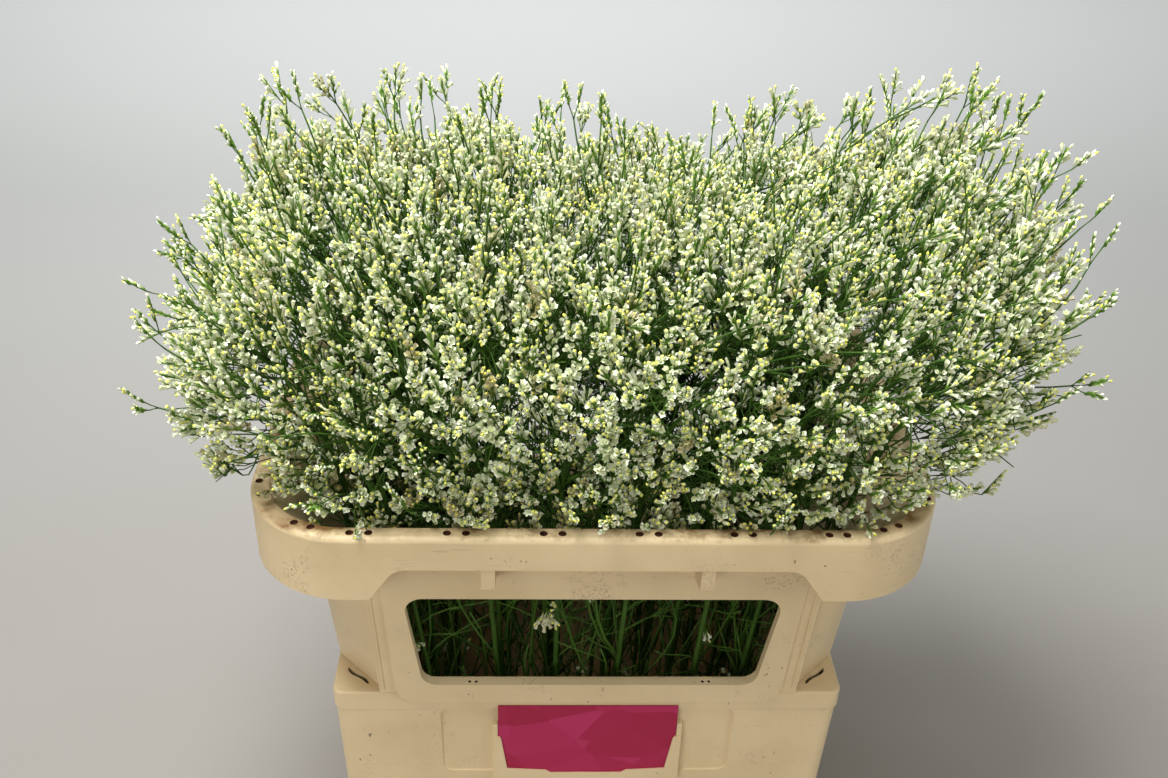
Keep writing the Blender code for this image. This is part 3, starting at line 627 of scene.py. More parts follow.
        # a thin rib between the two steps
        for sx in (-1, 1):
            pts = [(sx * 0.1585, base + 0.006), (sx * 0.1598, base + 0.006),
                   (sx * 0.1645, base + 0.150), (sx * 0.1630, base + 0.150)]
            if sx < 0:
                pts.reverse()
            boolean(ob, slab(pts, lambda z: side * (0.1526 + 0.0965 * (z - base)), inside),
                    "UNION")
        win = rounded([(-WIN_BOT[0], base + WIN_BOT[1]), (WIN_BOT[0], base + WIN_BOT[1]),
                       (WIN_TOP[0], base + WIN_TOP[1]), (-WIN_TOP[0], base + WIN_TOP[1])], WIN_R)
        boolean(ob, slab(win, lambda z: side * 0.180, lambda z: side * 0.120), "DIFFERENCE")
        for sx in (-1, 1):
            zs = rim - SKIRT_MID
            bm = bmesh.new()
            x0, x1 = sx * TAB_X - TAB_W / 2, sx * TAB_X + TAB_W / 2
            sect = [(side * (RIM[1] - 0.0006), zs + 0.004),
                    (side * (RIM[1] - 0.0018), zs - TAB_DROP + 0.0015),
                    (side * (RIM[1] - 0.0030), zs - TAB_DROP),
                    (side * (RIM[1] - 0.0075), zs - TAB_DROP - 0.001),
                    (side * (COLLAR_FOOT[1] + DRAFT * 0.13 - 0.001), BUCKET_H + 0.130),
                    (side * (COLLAR_FOOT[1] + DRAFT * 0.15 - 0.001), BUCKET_H + 0.148),
                    (side * (RIM[1] - 0.0015), zs + 0.010)]
            loft(bm, [[(x0, y, z) for y, z in sect], [(x1, y, z) for y, z in sect]])
            boolean(ob, bm, "UNION")
    soften(ob, 0.0007, 2, 42)
    # stapling holes in the rim, rusty inside
    spots = [(x, -0.1885) for x in (0.0266, 0.0395, 0.0909, 0.1035, 0.1557, 0.1679)]
    spots += [(-x, y) for x, y in [(0.0253, -0.1885), (0.0380, -0.1885), (0.0900, -0.1885),
                                   (0.1027, -0.1885), (0.1550, -0.1885), (0.1675, -0.1885)]]
    spots += [(s * x, y) for s in (-1, 1) for x, y in ((0.1942, -0.1825), (0.2060, -0.1778),
                                                       (0.2345, -0.1465), (0.2383, -0.1310))]
    spots += [(x, -y) for x, y in spots]
    bm = bmesh.new()
    for x, y in spots:
        made = bmesh.ops.create_cone(bm, cap_ends=True, segments=20, radius1=0.0026,
                                     radius2=0.0030, depth=0.0044)["verts"]
        bmesh.ops.translate(bm, vec=(x, y, rim), verts=made)
    for sx in (-1, 1):
        for sy in (-1, 1):
            for x in (0.0878, 0.0928):
                made = bmesh.ops.create_cone(bm, cap_ends=True, segments=14, radius1=0.0011,
                                             radius2=0.0013, depth=0.0050)["verts"]
                bmesh.ops.translate(bm, vec=(sx * x, sy * 0.1515, base + WIN_BOT[1]), verts=made)
    boolean(ob, bm, "DIFFERENCE", hole_mat)
    even_shading(ob)
    return place(ob, "collar", slot="collar_plastic")


# ---------------------------------------------------------------- how the stems grow
def bezier(a, b, c, n):
    t = np.linspace(0, 1, n)[:, None]
    return (1 - t) ** 2 * a + 2 * t * (1 - t) * b + t ** 2 * c


def lengths(line):
    return np.concatenate([[0], np.cumsum(np.linalg.norm(np.diff(line, axis=0), axis=1))])


def facets(line, marks):
    cum = lengths(line)
    knots = np.stack([np.interp(marks, cum, line[:, i]) for i in range(3)], axis=1)
    t = np.linspace(0, len(marks) - 1, 8 * (len(marks) - 1) + 1)
    return np.stack([np.interp(t, range(len(marks)), knots[:, i]) for i in range(3)], axis=1)


def branch_marks(total):
    return [0.0, (total - SPRAY_LEN) * 0.5, total - SPRAY_LEN, total - 0.55 * SPRAY_LEN, total]


def trunk_marks(total, f1, f2):
    return [0.0, 0.42 * f1, 0.80 * f1, f1 - 0.0025, f1 + 0.0025, f2 - 0.0025, f2 + 0.0025,
            max(total - SPRAY_LEN, f2 + 0.012), max(total - 0.55 * SPRAY_LEN, f2 + 0.026), total]


def on_cloud(d, u):
    """Points of the dome of flowers in the directions d, at the share u of the way out."""
    mid, axes = np.array(CLOUD_MID), np.array(CLOUD_AXES)
    reach = (np.abs(d / axes) ** CLOUD_POWER).sum(1) ** (-1 / CLOUD_POWER)
    p = mid + d * reach[:, None] * u[:, None]
    x, z = p[:, 0].copy(), p[:, 2].copy()

    def swell(at, width, v=x):
        return np.exp(-((v - at) / width) ** 2)
    # two higher crowns, a low middle, and dips on both sides of it
    up = np.clip((z - mid[2]) / axes[2], 0, 1)
    p[:, 2] += up * (0.056 * swell(0.318, 0.095) + 0.040 * swell(-0.250, 0.072)
                     - 0.018 * swell(0.035, 0.080) - 0.014 * swell(-0.050, 0.022)
                     - 0.026 * swell(0.094, 0.030) * (p[:, 1] > -0.05))
    # the right end leans out at the top, the left end has a waist, and both draw in low down
    left, right = np.clip((-0.08 - x) / 0.16, 0, 1), np.clip((x - 0.10) / 0.16, 0, 1)
    low = np.clip((0.550 - z) / 0.070, 0, 1)
    p[:, 0] += right * (0.044 * up ** 2 - 0.014 - 0.024 * low)
    waist = 0.030 * swell(0.606, 0.030, z) - 0.016 * swell(0.542, 0.022, z)
    p[:, 0] += left * (waist + 0.016 * low)
    p[:, 1] *= 1 - 0.06 * low
    return p


def cloud_tips(rng, count):
    """Spray tips spread evenly over the dome of flowers, by best candidate."""
    tips = []
    while len(tips) < count:
        d = rng.normal(size=(240, 3))
        d /= np.linalg.norm(d, axis=1)[:, None]
        d[:, 2] = np.abs(d[:, 2]) * 1.15 - 0.15
        p = on_cloud(d, rng.uniform(0.90, 1.035, 240))
        ok = p[:, 2] > BUCKET_H + RIM_Z + 0.016 + 0.024 * (np.abs(p[:, 0]) < 0.262)
        p = p[ok]
        if tips:
            gap = np.linalg.norm(p[:, None] - np.array(tips)[None], axis=2).min(1)
            tips.append(p[np.argmax(gap)])
        else:
            tips.append(p[0])
    return np.array(tips)


def inside_collar(p, r):
    x, y, z = np.abs(p[:, 0]), np.abs(p[:, 1]), p[:, 2] - BUCKET_H

    def out(hx, hy, c):
        ax, ay = x - (hx - c), y - (hy - c)
        return np.hypot(np.maximum(ax, 0), np.maximum(ay, 0)) + \
            np.minimum(np.maximum(ax, ay), 0) - c
    lean = DRAFT * np.clip(z, 0, 0.15)
    wall = out(0.1860 + lean, 0.1360 + lean, 0.060) < -r - 0.001
    rim_in = out(RIM_IN[0], RIM_IN[1], RIM_R - 0.012) < -r - 0.0015
    rim_out = out(RIM[0], RIM[1], RIM_R) > r + 0.0015
    ok = np.where(z < 0.150, wall, rim_in)
    ok |= rim_out & (z > 0.12)
    ok |= z > RIM_Z + r + 0.0015
    window = (x < 0.135) & (y > 0.1375 - r) & (z > 0.008) & (z < 0.114)
    lane = (y < 0.0125 + r) & (x < 0.19) & (z < RIM_Z + 0.006)
    return bool(np.all(ok & ~window & ~lane))


def grow():
    rng = np.random.default_rng(SEED)
    tips = cloud_tips(rng, COLUMNS * ROWS * SPRAYS)
    order = np.argsort(tips[:, 0])
    per = ROWS * SPRAYS
    balls = np.zeros((0, 4))
    owner = np.zeros(0, int)
    stems = []
    rim = BUCKET_H + RIM_Z
    for col in range(COLUMNS):
        group = order[col * per:(col + 1) * per]
        group = group[np.argsort(tips[group, 1])]
        for row in range(ROWS):
            mine = tips[group[row * SPRAYS:(row + 1) * SPRAYS]]
            u = (col + 0.5) / COLUMNS * 2 - 1
            half = ROWS // 2
            k = row - half if row >= half else half - 1 - row
            v = (LANE + k * (FOOT_SPAN[1] - LANE) / (half - 1)) * (1 if row >= half else -1)
            mean = mine.mean(0)
            central = np.argsort(((mine - mean) ** 2).sum(1) - 0.02 * mine[:, 2])
            edge = col in (0, COLUMNS - 1) or row in (0, ROWS - 1)
            pull = 0.91 if col in (0, COLUMNS - 1) and row in (0, ROWS - 1) else 1.0
            for attempt in range(240):
                top = mine[central[attempt // 80]]
                foot = np.array([u * FOOT_SPAN[0] / (1 - 1 / COLUMNS) + rng.uniform(-.008, .008),
                                 v + rng.uniform(-.005, .005), FOOT_Z])
                foot[:2] *= pull
                lim = (0.212, 0.1665)
                rimp = np.array([np.clip(foot[0] * 1.16 + 0.08 * (mean[0] - foot[0])
                                         + rng.uniform(-.012, .012), -lim[0], lim[0]),
                                 np.clip(foot[1] * 1.25 + rng.uniform(-.006, .006),
                                         -lim[1], lim[1]), rim])
                s = np.linspace(0, 1, 60)[:, None]
                low = foot + (rimp - foot) * np.hstack([s ** 1.7, s ** 2.3, s])
                d = low[-1] - low[-6]
                d /= np.linalg.norm(d)
                rise = np.linalg.norm(top - rimp)
                high = bezier(rimp, rimp + d * rise * 0.55, top, 40)[1:]
                line = np.vstack([low, high])
                cum = lengths(line)
                total = cum[-1]
                free = min(total * 0.42, total - cum[59] + (-0.004 if edge else 0.055))
                forks = [total - free, total - 0.62 * free]
                both = np.vstack([line, facets(line, trunk_marks(total, *forks))])
                rad = np.full(len(both), R_FOOT) * 1.15
                far = np.linalg.norm(both - top, axis=1)
                rad = np.where(far < SPRAY_LEN, SPRAY_R + 0.0006, rad)
                new = np.hstack([both, rad[:, None]])
                if inside_collar(both, rad) and clear(new, balls):
                    break
            else:
                continue
            at = lambda q: np.array([np.interp(q, cum, line[:, i]) for i in range(3)])
            stem = {"line": line, "cum": cum, "branches": []}
            balls = np.vstack([balls, new])
            owner = np.concatenate([owner, np.full(len(new), len(stems))])
            rest = [m for m in mine if not np.allclose(m, top)]
            rest.sort(key=lambda m: -np.linalg.norm(m - top))
            t1 = at(forks[0] + 0.01) - at(forks[0] - 0.01)
            t1 /= np.linalg.norm(t1)
            side = rest[0] - at(forks[0])
            side -= t1 * side.dot(t1)
            side /= np.linalg.norm(side)
            stem["normal"] = side
            stem["forks"] = forks
            pick = {0: rest[0]}
            others = rest[1:]
            others.sort(key=lambda m: (m - at(forks[0])).dot(side))
            pick[2] = others[0]
            cross = np.cross(t1, side)
            others = sorted(others[1:], key=lambda m: (m - at(forks[1])).dot(cross))
            pick[3], pick[1] = others[0], others[-1]
            for face, tip in pick.items():
                fork = forks[face % 2]
                root = at(fork)
                t1 = at(fork + 0.005) - at(fork - 0.005)
                t1 /= np.linalg.norm(t1)
                out = side if face % 2 == 0 else cross
                out = out - t1 * out.dot(t1)
                out = out / np.linalg.norm(out) * (1 if face < 2 else -1)
                own = owner == len(stems)
                near = np.linalg.norm(balls[:, :3] - root, axis=1) < 0.020
                for attempt in range(90):
                    shrink = 1.0 - 0.012 * (attempt // 3)
                    lift = np.array([0, 0, 0.022]) * (attempt % 3)
                    end = root + (tip - root) * shrink + rng.normal(size=3) * 0.0001 * attempt
                    lead = np.linalg.norm(end - root)
                    a = root + out * 0.0062 + t1 * 0.0052
                    ctrl = root + out * (0.20 * lead) + t1 * lead * rng.uniform(0.40, 0.62) + lift
                    way = bezier(a, ctrl, end, 30)
                    both = np.vstack([way, facets(way, branch_marks(lengths(way)[-1]))])
                    far = np.linalg.norm(both - end, axis=1)
                    r = np.where(far < SPRAY_LEN, SPRAY_R + 0.0006, R_TOP * 1.5 + 0.0006)
                    new = np.hstack([both, r[:, None]])
                    if lead > 0.06 and inside_collar(both, r) and clear(new, balls[~(own & near)]):
                        stem["branches"].append((face, way))
                        balls = np.vstack([balls, new])
                        owner = np.concatenate([owner, np.full(len(new), len(stems))])
                        break
            stems.append(stem)
    return stems


def clear(new, balls):
    if not len(balls):
        return True
    lo, hi = new[:, :3].min(0) - 0.014, new[:, :3].max(0) + 0.014
    b = balls[np.all((balls[:, :3] > lo) & (balls[:, :3] < hi), axis=1)]
    if not len(b):
        return True
    d = np.linalg.norm(new[:, None, :3] - b[None, :, :3], axis=2)
    return bool(np.all(d > new[:, None, 3] + b[None, :, 3] + 0.0004))


# ---------------------------------------------------------------- meshes from many small parts
STEM, BRACT, CALYX, BUD = 0, 1, 2, 3


def unit(v):
    return v / np.maximum(np.linalg.norm(v, axis=-1, keepdims=True), 1e-12)


def resample(line, n, start=0.0, stop=1.0):
    cum = lengths(line)
    q = np.linspace(start, stop, n) * cum[-1]
    return np.stack([np.interp(q, cum, line[:, i]) for i in range(3)], axis=1)


class Batch:
    """Closed shapes gathered for one mesh."""

    def __init__(self):
        self.v, self.f, self.slot, self.tint, self.smooth, self.count = [], [], [], [], [], 0

    def add(self, points, tris, slot, tint, smooth):
        """points (k, n, 3), one shape's triangles (m, 3), tint (k, n, 3)."""
        k, n = points.shape[:2]
        self.v.append(points.reshape(-1, 3))
        at = self.count + np.arange(k)[:, None, None] * n
        self.f.append((tris[None] + at).reshape(-1, 3))
        self.slot.append(np.full(k * len(tris), slot, np.int32))
        self.smooth.append(np.full(k * len(tris), smooth, bool))
        self.tint.append(tint.reshape(-1, 3))
        self.count += k * n

    def tubes(self, lines, radii, sides, slot, tint, turn=None):
        """lines (k, s, 3), radii (k, s), tint (k, 2) of chance and age, where age on these stems is
        painted shade.
        """
        k, s = lines.shape[:2]
        t = np.empty_like(lines)
        t[:, 1:-1] = lines[:, 2:] - lines[:, :-2]
        t[:, 0], t[:, -1] = lines[:, 1] - lines[:, 0], lines[:, -1] - lines[:, -2]
        t = unit(t)
        ref = np.where(np.abs(t[:, :1, 2:]) > 0.9, np.array([1.0, 0, 0]), np.array([0, 0, 1.0]))
        n = unit(np.cross(t[:, 0], ref[:, 0]))
        rings = np.empty((k, s, sides, 3))
        ang = np.arange(sides) * 2 * np.pi / sides
        for i in range(s):
            n = unit(n - t[:, i] * (n * t[:, i]).sum(1)[:, None])
            b = np.cross(t[:, i], n)
            rings[:, i] = lines[:, i, None] + radii[:, i, None, None] * (
                n[:, None] * np.cos(ang)[None, :, None] + b[:, None] * np.sin(ang)[None, :, None])
        tris = []
        for i in range(s - 1):
            for j in range(sides):
                a, c = i * sides + j, i * sides + (j + 1) % sides
                tris += [(a, c, c + sides), (a, c + sides, a + sides)]
        last = (s - 1) * sides
        for j in range(1, sides - 1):
            tris += [(0, j + 1, j), (last, last + j, last + j + 1)]
        tone = np.empty((k, s, sides, 3))
        tone[..., 0] = np.linspace(0, 1, s)[None, :, None]
        tone[..., 1:] = tint[:, None, None, :]
        self.add(rings.reshape(k, -1, 3), np.array(tris), slot, tone.reshape(k, -1, 3), True)

    def copies(self, shape, tris, along, origin, axis, side, width, length, slot, tint, smooth,
               shake=None):
        """Copies of a small shape whose z runs along axis and whose x points to side."""
        x = unit(side - axis * (side * axis).sum(1)[:, None])
        y = np.cross(axis, x)
        p = np.repeat(shape[None], len(origin), 0) * np.stack([width, width, length], 1)[:, None]
        if shake is not None:
            p = p + shake
        p = origin[:, None] + p[..., :1] * x[:, None] + p[..., 1:2] * y[:, None] \
            + p[..., 2:] * axis[:, None]
        tone = np.empty((*p.shape[:2], 3))
        tone[..., 0] = along[None]
        tone[..., 1:] = tint[:, None]
        self.add(p, tris, slot, tone, smooth)

    def mesh(self, name, mats):
        me = bpy.data.meshes.new(name)
        v, f = np.concatenate(self.v), np.concatenate(self.f)
        me.vertices.add(len(v))
        me.vertices.foreach_set("co", v.astype(np.float32).ravel())
        me.loops.add(len(f) * 3)
        me.loops.foreach_set("vertex_index", f.astype(np.int32).ravel())
        me.polygons.add(len(f))
        me.polygons.foreach_set("loop_start", np.arange(0, len(f) * 3, 3, dtype=np.int32))
        me.polygons.foreach_set("material_index", np.concatenate(self.slot))
        me.polygons.foreach_set("use_smooth", np.concatenate(self.smooth))
        for m in mats:
            me.materials.append(m)
        me.update(calc_edges=True)
        tint = np.ones((len(v), 4), np.float32)
        tint[:, :3] = np.concatenate(self.tint)
        layer = me.color_attributes.new(name="tint", type="FLOAT_COLOR", domain="POINT")
        layer.data.foreach_set("color", tint.ravel())
        return me


# one floret, z along it from 0 at its foot to 1 at its rim
def funnel(lobes, inner):
    """A flared calyx: pleated with lobes, or a plain five-sided cup."""
    pts, along = [(0, 0, 0)], [0.0]
    n = 10 if lobes else 5
    for k in range(n):
        a = k * 2 * math.pi / n
        dip = lobes and k % 2 == 1
        r = 0.78 if dip else 1.0
        pts.append((r * math.cos(a), r * math.sin(a), 0.90 if dip else 1.0))
        along.append(0.88 if dip else 1.0)
    pts.append((0, 0, inner))
    along.append(0.30)
    tris = []
    for k in range(n):
        a, b = 1 + k, 1 + (k + 1) % n
        tris += [(0, b, a), (n + 1, a, b)]
    return np.array(pts, float), np.array(tris), np.array(along)


def spindle(sides, low, waist, high, lean=0.0):
    pts = [(0, 0, low)]
    pts += [(math.cos(k * 2 * math.pi / sides), math.sin(k * 2 * math.pi / sides), waist)
            for k in range(sides)]
    pts.append((lean, 0, high))
    tris = []
    for k in range(sides):
        a, b = 1 + k, 1 + (k + 1) % sides
        tris += [(0, b, a), (sides + 1, a, b)]
    along = np.array([0.0] + [(waist - low) / (high - low)] * sides + [1.0])
    return np.array(pts, float), np.array(tris), along


OPEN = funnel(True, 0.45)
CUP = funnel(False, 0.55)
CLOSED = spindle(3, 0.0, 0.76, 1.0)
BRACT_SHAPE = spindle(3, -0.30, 0.14, 0.56, 0.5)
BUD_SHAPE = spindle(3, 0.0, 0.55, 1.0)


def flowers(batch, rng, foot, axis, side, width, length, tint, yellow, bract):
    """Florets with their feet at foot: a papery calyx, a green bract and a yellow bud on some."""
    shut, wide = width < 0.00136, width > 0.00200
    for mask, (shape, tris, along), shake in ((wide, OPEN, 0.00024), (shut, CLOSED, 0.00010),
                                              (~shut & ~wide, CUP, 0.00020)):
        m = int(mask.sum())
        if not m:
            continue
        jitter = rng.normal(size=(m, len(shape), 3)) * shake
        batch.copies(shape, tris, along, foot[mask], axis[mask], side[mask], width[mask],
                     length[mask], CALYX, tint[mask], False, jitter)
    shape, tris, along = BRACT_SHAPE
    m = bract > 0
    batch.copies(shape, tris, along, foot[m], axis[m], -side[m], 0.00118 * bract[m],
                 length[m] * np.minimum(bract[m], 1.15), BRACT, tint[m], False)
    shape, tris, along = BUD_SHAPE
    m = yellow
    start = np.where(shut[m], 0.62, 0.66) * length[m]
    batch.copies(shape, tris, along, foot[m] + axis[m] * start[:, None], axis[m], side[m],
                 np.where(shut[m], width[m] * 1.20, 0.00150), 0.36 * length[m] + 0.0012, BUD,
                 tint[m], True)


# ---------------------------------------------------------------- where the flowers go
def outside_collar(p, margin=0.004):
    """True where a point clears the collar's rim and wall by the margin."""
    x, y, z = np.abs(p[..., 0]), np.abs(p[..., 1]), p[..., 2] - BUCKET_H

    def out(hx, hy, c):
        ax, ay = x - (hx - c), y - (hy - c)
        return np.hypot(np.maximum(ax, 0), np.maximum(ay, 0)) + \
            np.minimum(np.maximum(ax, ay), 0) - c
    lean = DRAFT * np.clip(z, 0, 0.15)
    inner = np.where(z < 0.150, out(0.1950 + lean, 0.1450 + lean, 0.050),
                     out(RIM_IN[0], RIM_IN[1], RIM_R - 0.0135))
    return (z > RIM_Z + margin) | (inner < -margin) | (out(RIM[0], RIM[1], RIM_R) > margin)


def inside_walls(p, margin):
    """True for points well inside the collar's wall, below its rim."""
    lean = DRAFT * np.clip(p[..., 2] - BUCKET_H, 0, 0.15)
    x, y = np.abs(p[..., 0]), np.abs(p[..., 1])
    return (x < 0.1940 + lean - margin) & (y < 0.1440 + lean - margin) & \
        (x + y < 0.3010 + 2 * lean - margin)


def on_surface(rng, n):
    """Random points of the dome with the directions that face out of it."""
    d = unit(rng.normal(size=(n, 3)))
    d[:, 2] = np.abs(d[:, 2]) * 1.22 - 0.22
    p, q = on_cloud(d, np.ones(n)), on_cloud(d, np.full(n, 0.9))
    flat = (p - np.array(CLOUD_MID)) / np.array(CLOUD_AXES)
    out = unit(np.sign(flat) * np.abs(flat) ** 2.2 / np.array(CLOUD_AXES))
    return p, unit(out + unit(p - q) * 0.35)


def thin_out(points, least, taken=()):
    """Keeps points in their order where they stand at least so far from those kept before."""
    kept, index = list(taken), []
    box = {}

    def cell(p):
        return tuple(int(math.floor(c / least)) for c in p)
    for q in kept:
        box.setdefault(cell(q), []).append(q)
    for i, p in enumerate(points):
        a, b, c = cell(p)
        near = [q for da in (-1, 0, 1) for db in (-1, 0, 1) for dc in (-1, 0, 1)
                for q in box.get((a + da, b + db, c + dc), ())]
        if near and min(((q[0] - p[0]) ** 2 + (q[1] - p[1]) ** 2 + (q[2] - p[2]) ** 2)
                        for q in near) < least * least:
            continue
        box.setdefault((a, b, c), []).append(p)
        index.append(i)
    return np.array(index, int)


def openness(p):
    """How loose the bunch is: looser along its top, most of all at the right."""
    up = np.clip((p[:, 2] - 0.585) / 0.07, 0, 1)
    left = 0.45 * np.exp(-((p[:, 0] + 0.165) / 0.075) ** 2)
    return up * np.minimum(1.0, 0.22 + left + 0.78 * np.exp(-((p[:, 0] - 0.205) / 0.115) ** 2))


def flower_heads(rng, ends):
    """Middles of the heads of flowers, with the way each faces and how deep it sits."""
    p, out = on_surface(rng, 40000)
    ok = (p[:, 2] > BUCKET_H + RIM_Z + 0.012) & outside_collar(p, 0.006)
    p, out = p[ok], out[ok]
    near = np.array([np.argmin(((p - e) ** 2).sum(1)) for e in ends])
    order = np.concatenate([near, np.arange(len(p))])
    order = order[thin_out(p[order], HEAD_GAP)]
    heads, faces = p[order], out[order]
    # heads round the mouth of the collar, inside its rim and a little above it
    n = 9000
    a = rng.uniform(0, 2 * np.pi, n)
    c, s = np.cos(a), np.sin(a)
    reach = (np.abs(c / RIM_IN[0]) ** 4.5 + np.abs(s / RIM_IN[1]) ** 4.5) ** (-1 / 4.5)
    inset = rng.uniform(0.006, 0.060, n)
    z = BUCKET_H + RIM_Z + rng.uniform(-0.026, 0.040, n)
    q = np.stack([c * (reach - inset), s * (reach - inset), z], 1)
    low_out = unit(np.stack([c / RIM_IN[0] ** 2, s / RIM_IN[1] ** 2, np.full(n, 16.0)], 1))
    ok = outside_collar(q, 0.007) & ((z > BUCKET_H + RIM_Z - 0.004) | inside_walls(q, 0.010))
    # fewer low down at the right, where bare stems show
    ok &= (q[:, 0] < 0.06) | (q[:, 1] > 0) | (rng.random(n) < 0.03)
    q, low_out = q[ok], low_out[ok]
    order = thin_out(q, HEAD_GAP * 1.22, taken=list(heads))
    depth = rng.uniform(-0.006, 0.014, len(heads)) + openness(heads) * 0.026
    depth = np.where(rng.random(len(heads)) < 0.13, rng.uniform(0.020, 0.042, len(heads)), depth)
    heads = np.vstack([heads - faces * depth[:, None], q[order]])
    faces = np.vstack([faces, low_out[order]])
    low = np.concatenate([np.zeros(len(depth), bool), np.ones(len(order), bool)])
    depth = np.concatenate([depth, np.full(len(order), 0.012)])
    return heads, faces, depth, low


def stations(line, tail, low=0.0):
    """Points a side twig can leave from, with directions, short of the line's last stretch."""
    cum = lengths(line)
    q = np.arange(low, max(low + 0.001, cum[-1] - tail), 0.005)

    def at(v):
        v = np.clip(v, 0, cum[-1])
        return np.stack([np.interp(v, cum, line[:, i]) for i in range(3)], axis=1)
    return at(q), unit(at(q + 0.003) - at(q - 0.003))


def reach_cost(goal, p, t, wanted):
    d = goal - p
    dist = np.linalg.norm(d, axis=-1)
    turn = np.arccos(np.clip((d * t).sum(-1) / np.maximum(dist, 1e-9), -1, 1))
    bend = 4 * np.maximum(0, turn - 0.65) ** 2 + 2.5 * np.maximum(0, 0.22 - turn)
    return np.abs(dist - wanted) * np.where(dist < wanted, 0.55, 1.0) \
        + np.maximum(dist, 0.02) * bend


def curve(start, tangent, end, arrive, n):
    """A smooth way from start to end; arrays of k starts give k ways."""
    d = end - start
    dist = np.linalg.norm(d, axis=-1, keepdims=True)
    first = unit(tangent * 0.6 + d / np.maximum(dist, 1e-9) * 0.6)
    c1 = start + first * 0.36 * dist
    c2 = end - arrive * 0.34 * dist
    t = np.linspace(0, 1, n)[:, None]
    ex = (lambda v: v[..., None, :])
    return (1 - t) ** 3 * ex(start) + 3 * t * (1 - t) ** 2 * ex(c1) \
        + 3 * t ** 2 * (1 - t) * ex(c2) + t ** 3 * ex(end)


def head_root(head, aim, depth):
    """The point under a head that its twigs fan out from, clear of the collar."""
    for share in (1.0, 0.8, 0.6, 0.42, 0.28):
        root = head - aim * depth * share
        if outside_collar(root[None], 0.004)[0]:
            return root
    return root


def fan(axis, count, spread, rng):
    """Directions spread evenly over a cone round the axis."""
    ref = np.array([1.0, 0, 0]) if abs(axis[2]) > 0.8 else np.array([0, 0, 1.0])
    u = unit(np.cross(axis, ref))
    v = np.cross(axis, u)
    k = np.arange(count)
    polar = spread * np.sqrt((k + 0.35) / count) * rng.uniform(0.88, 1.12, count)
    az = k * 2.39996 + rng.uniform(0, 6.283)
    return (axis * np.cos(polar)[:, None] + u * (np.sin(polar) * np.cos(az))[:, None]
            + v * (np.sin(polar) * np.sin(az))[:, None]), polar


def within(p):
    lo, hi = LIMIT
    return np.all((p > lo) & (p < hi), axis=-1)


class Growth:
    """What one stem carries, gathered before it is meshed."""

    def __init__(self):
        self.stalks, self.twigs, self.spikes = [], [], []
        self.long, self.bare, self.thick = [], [], []


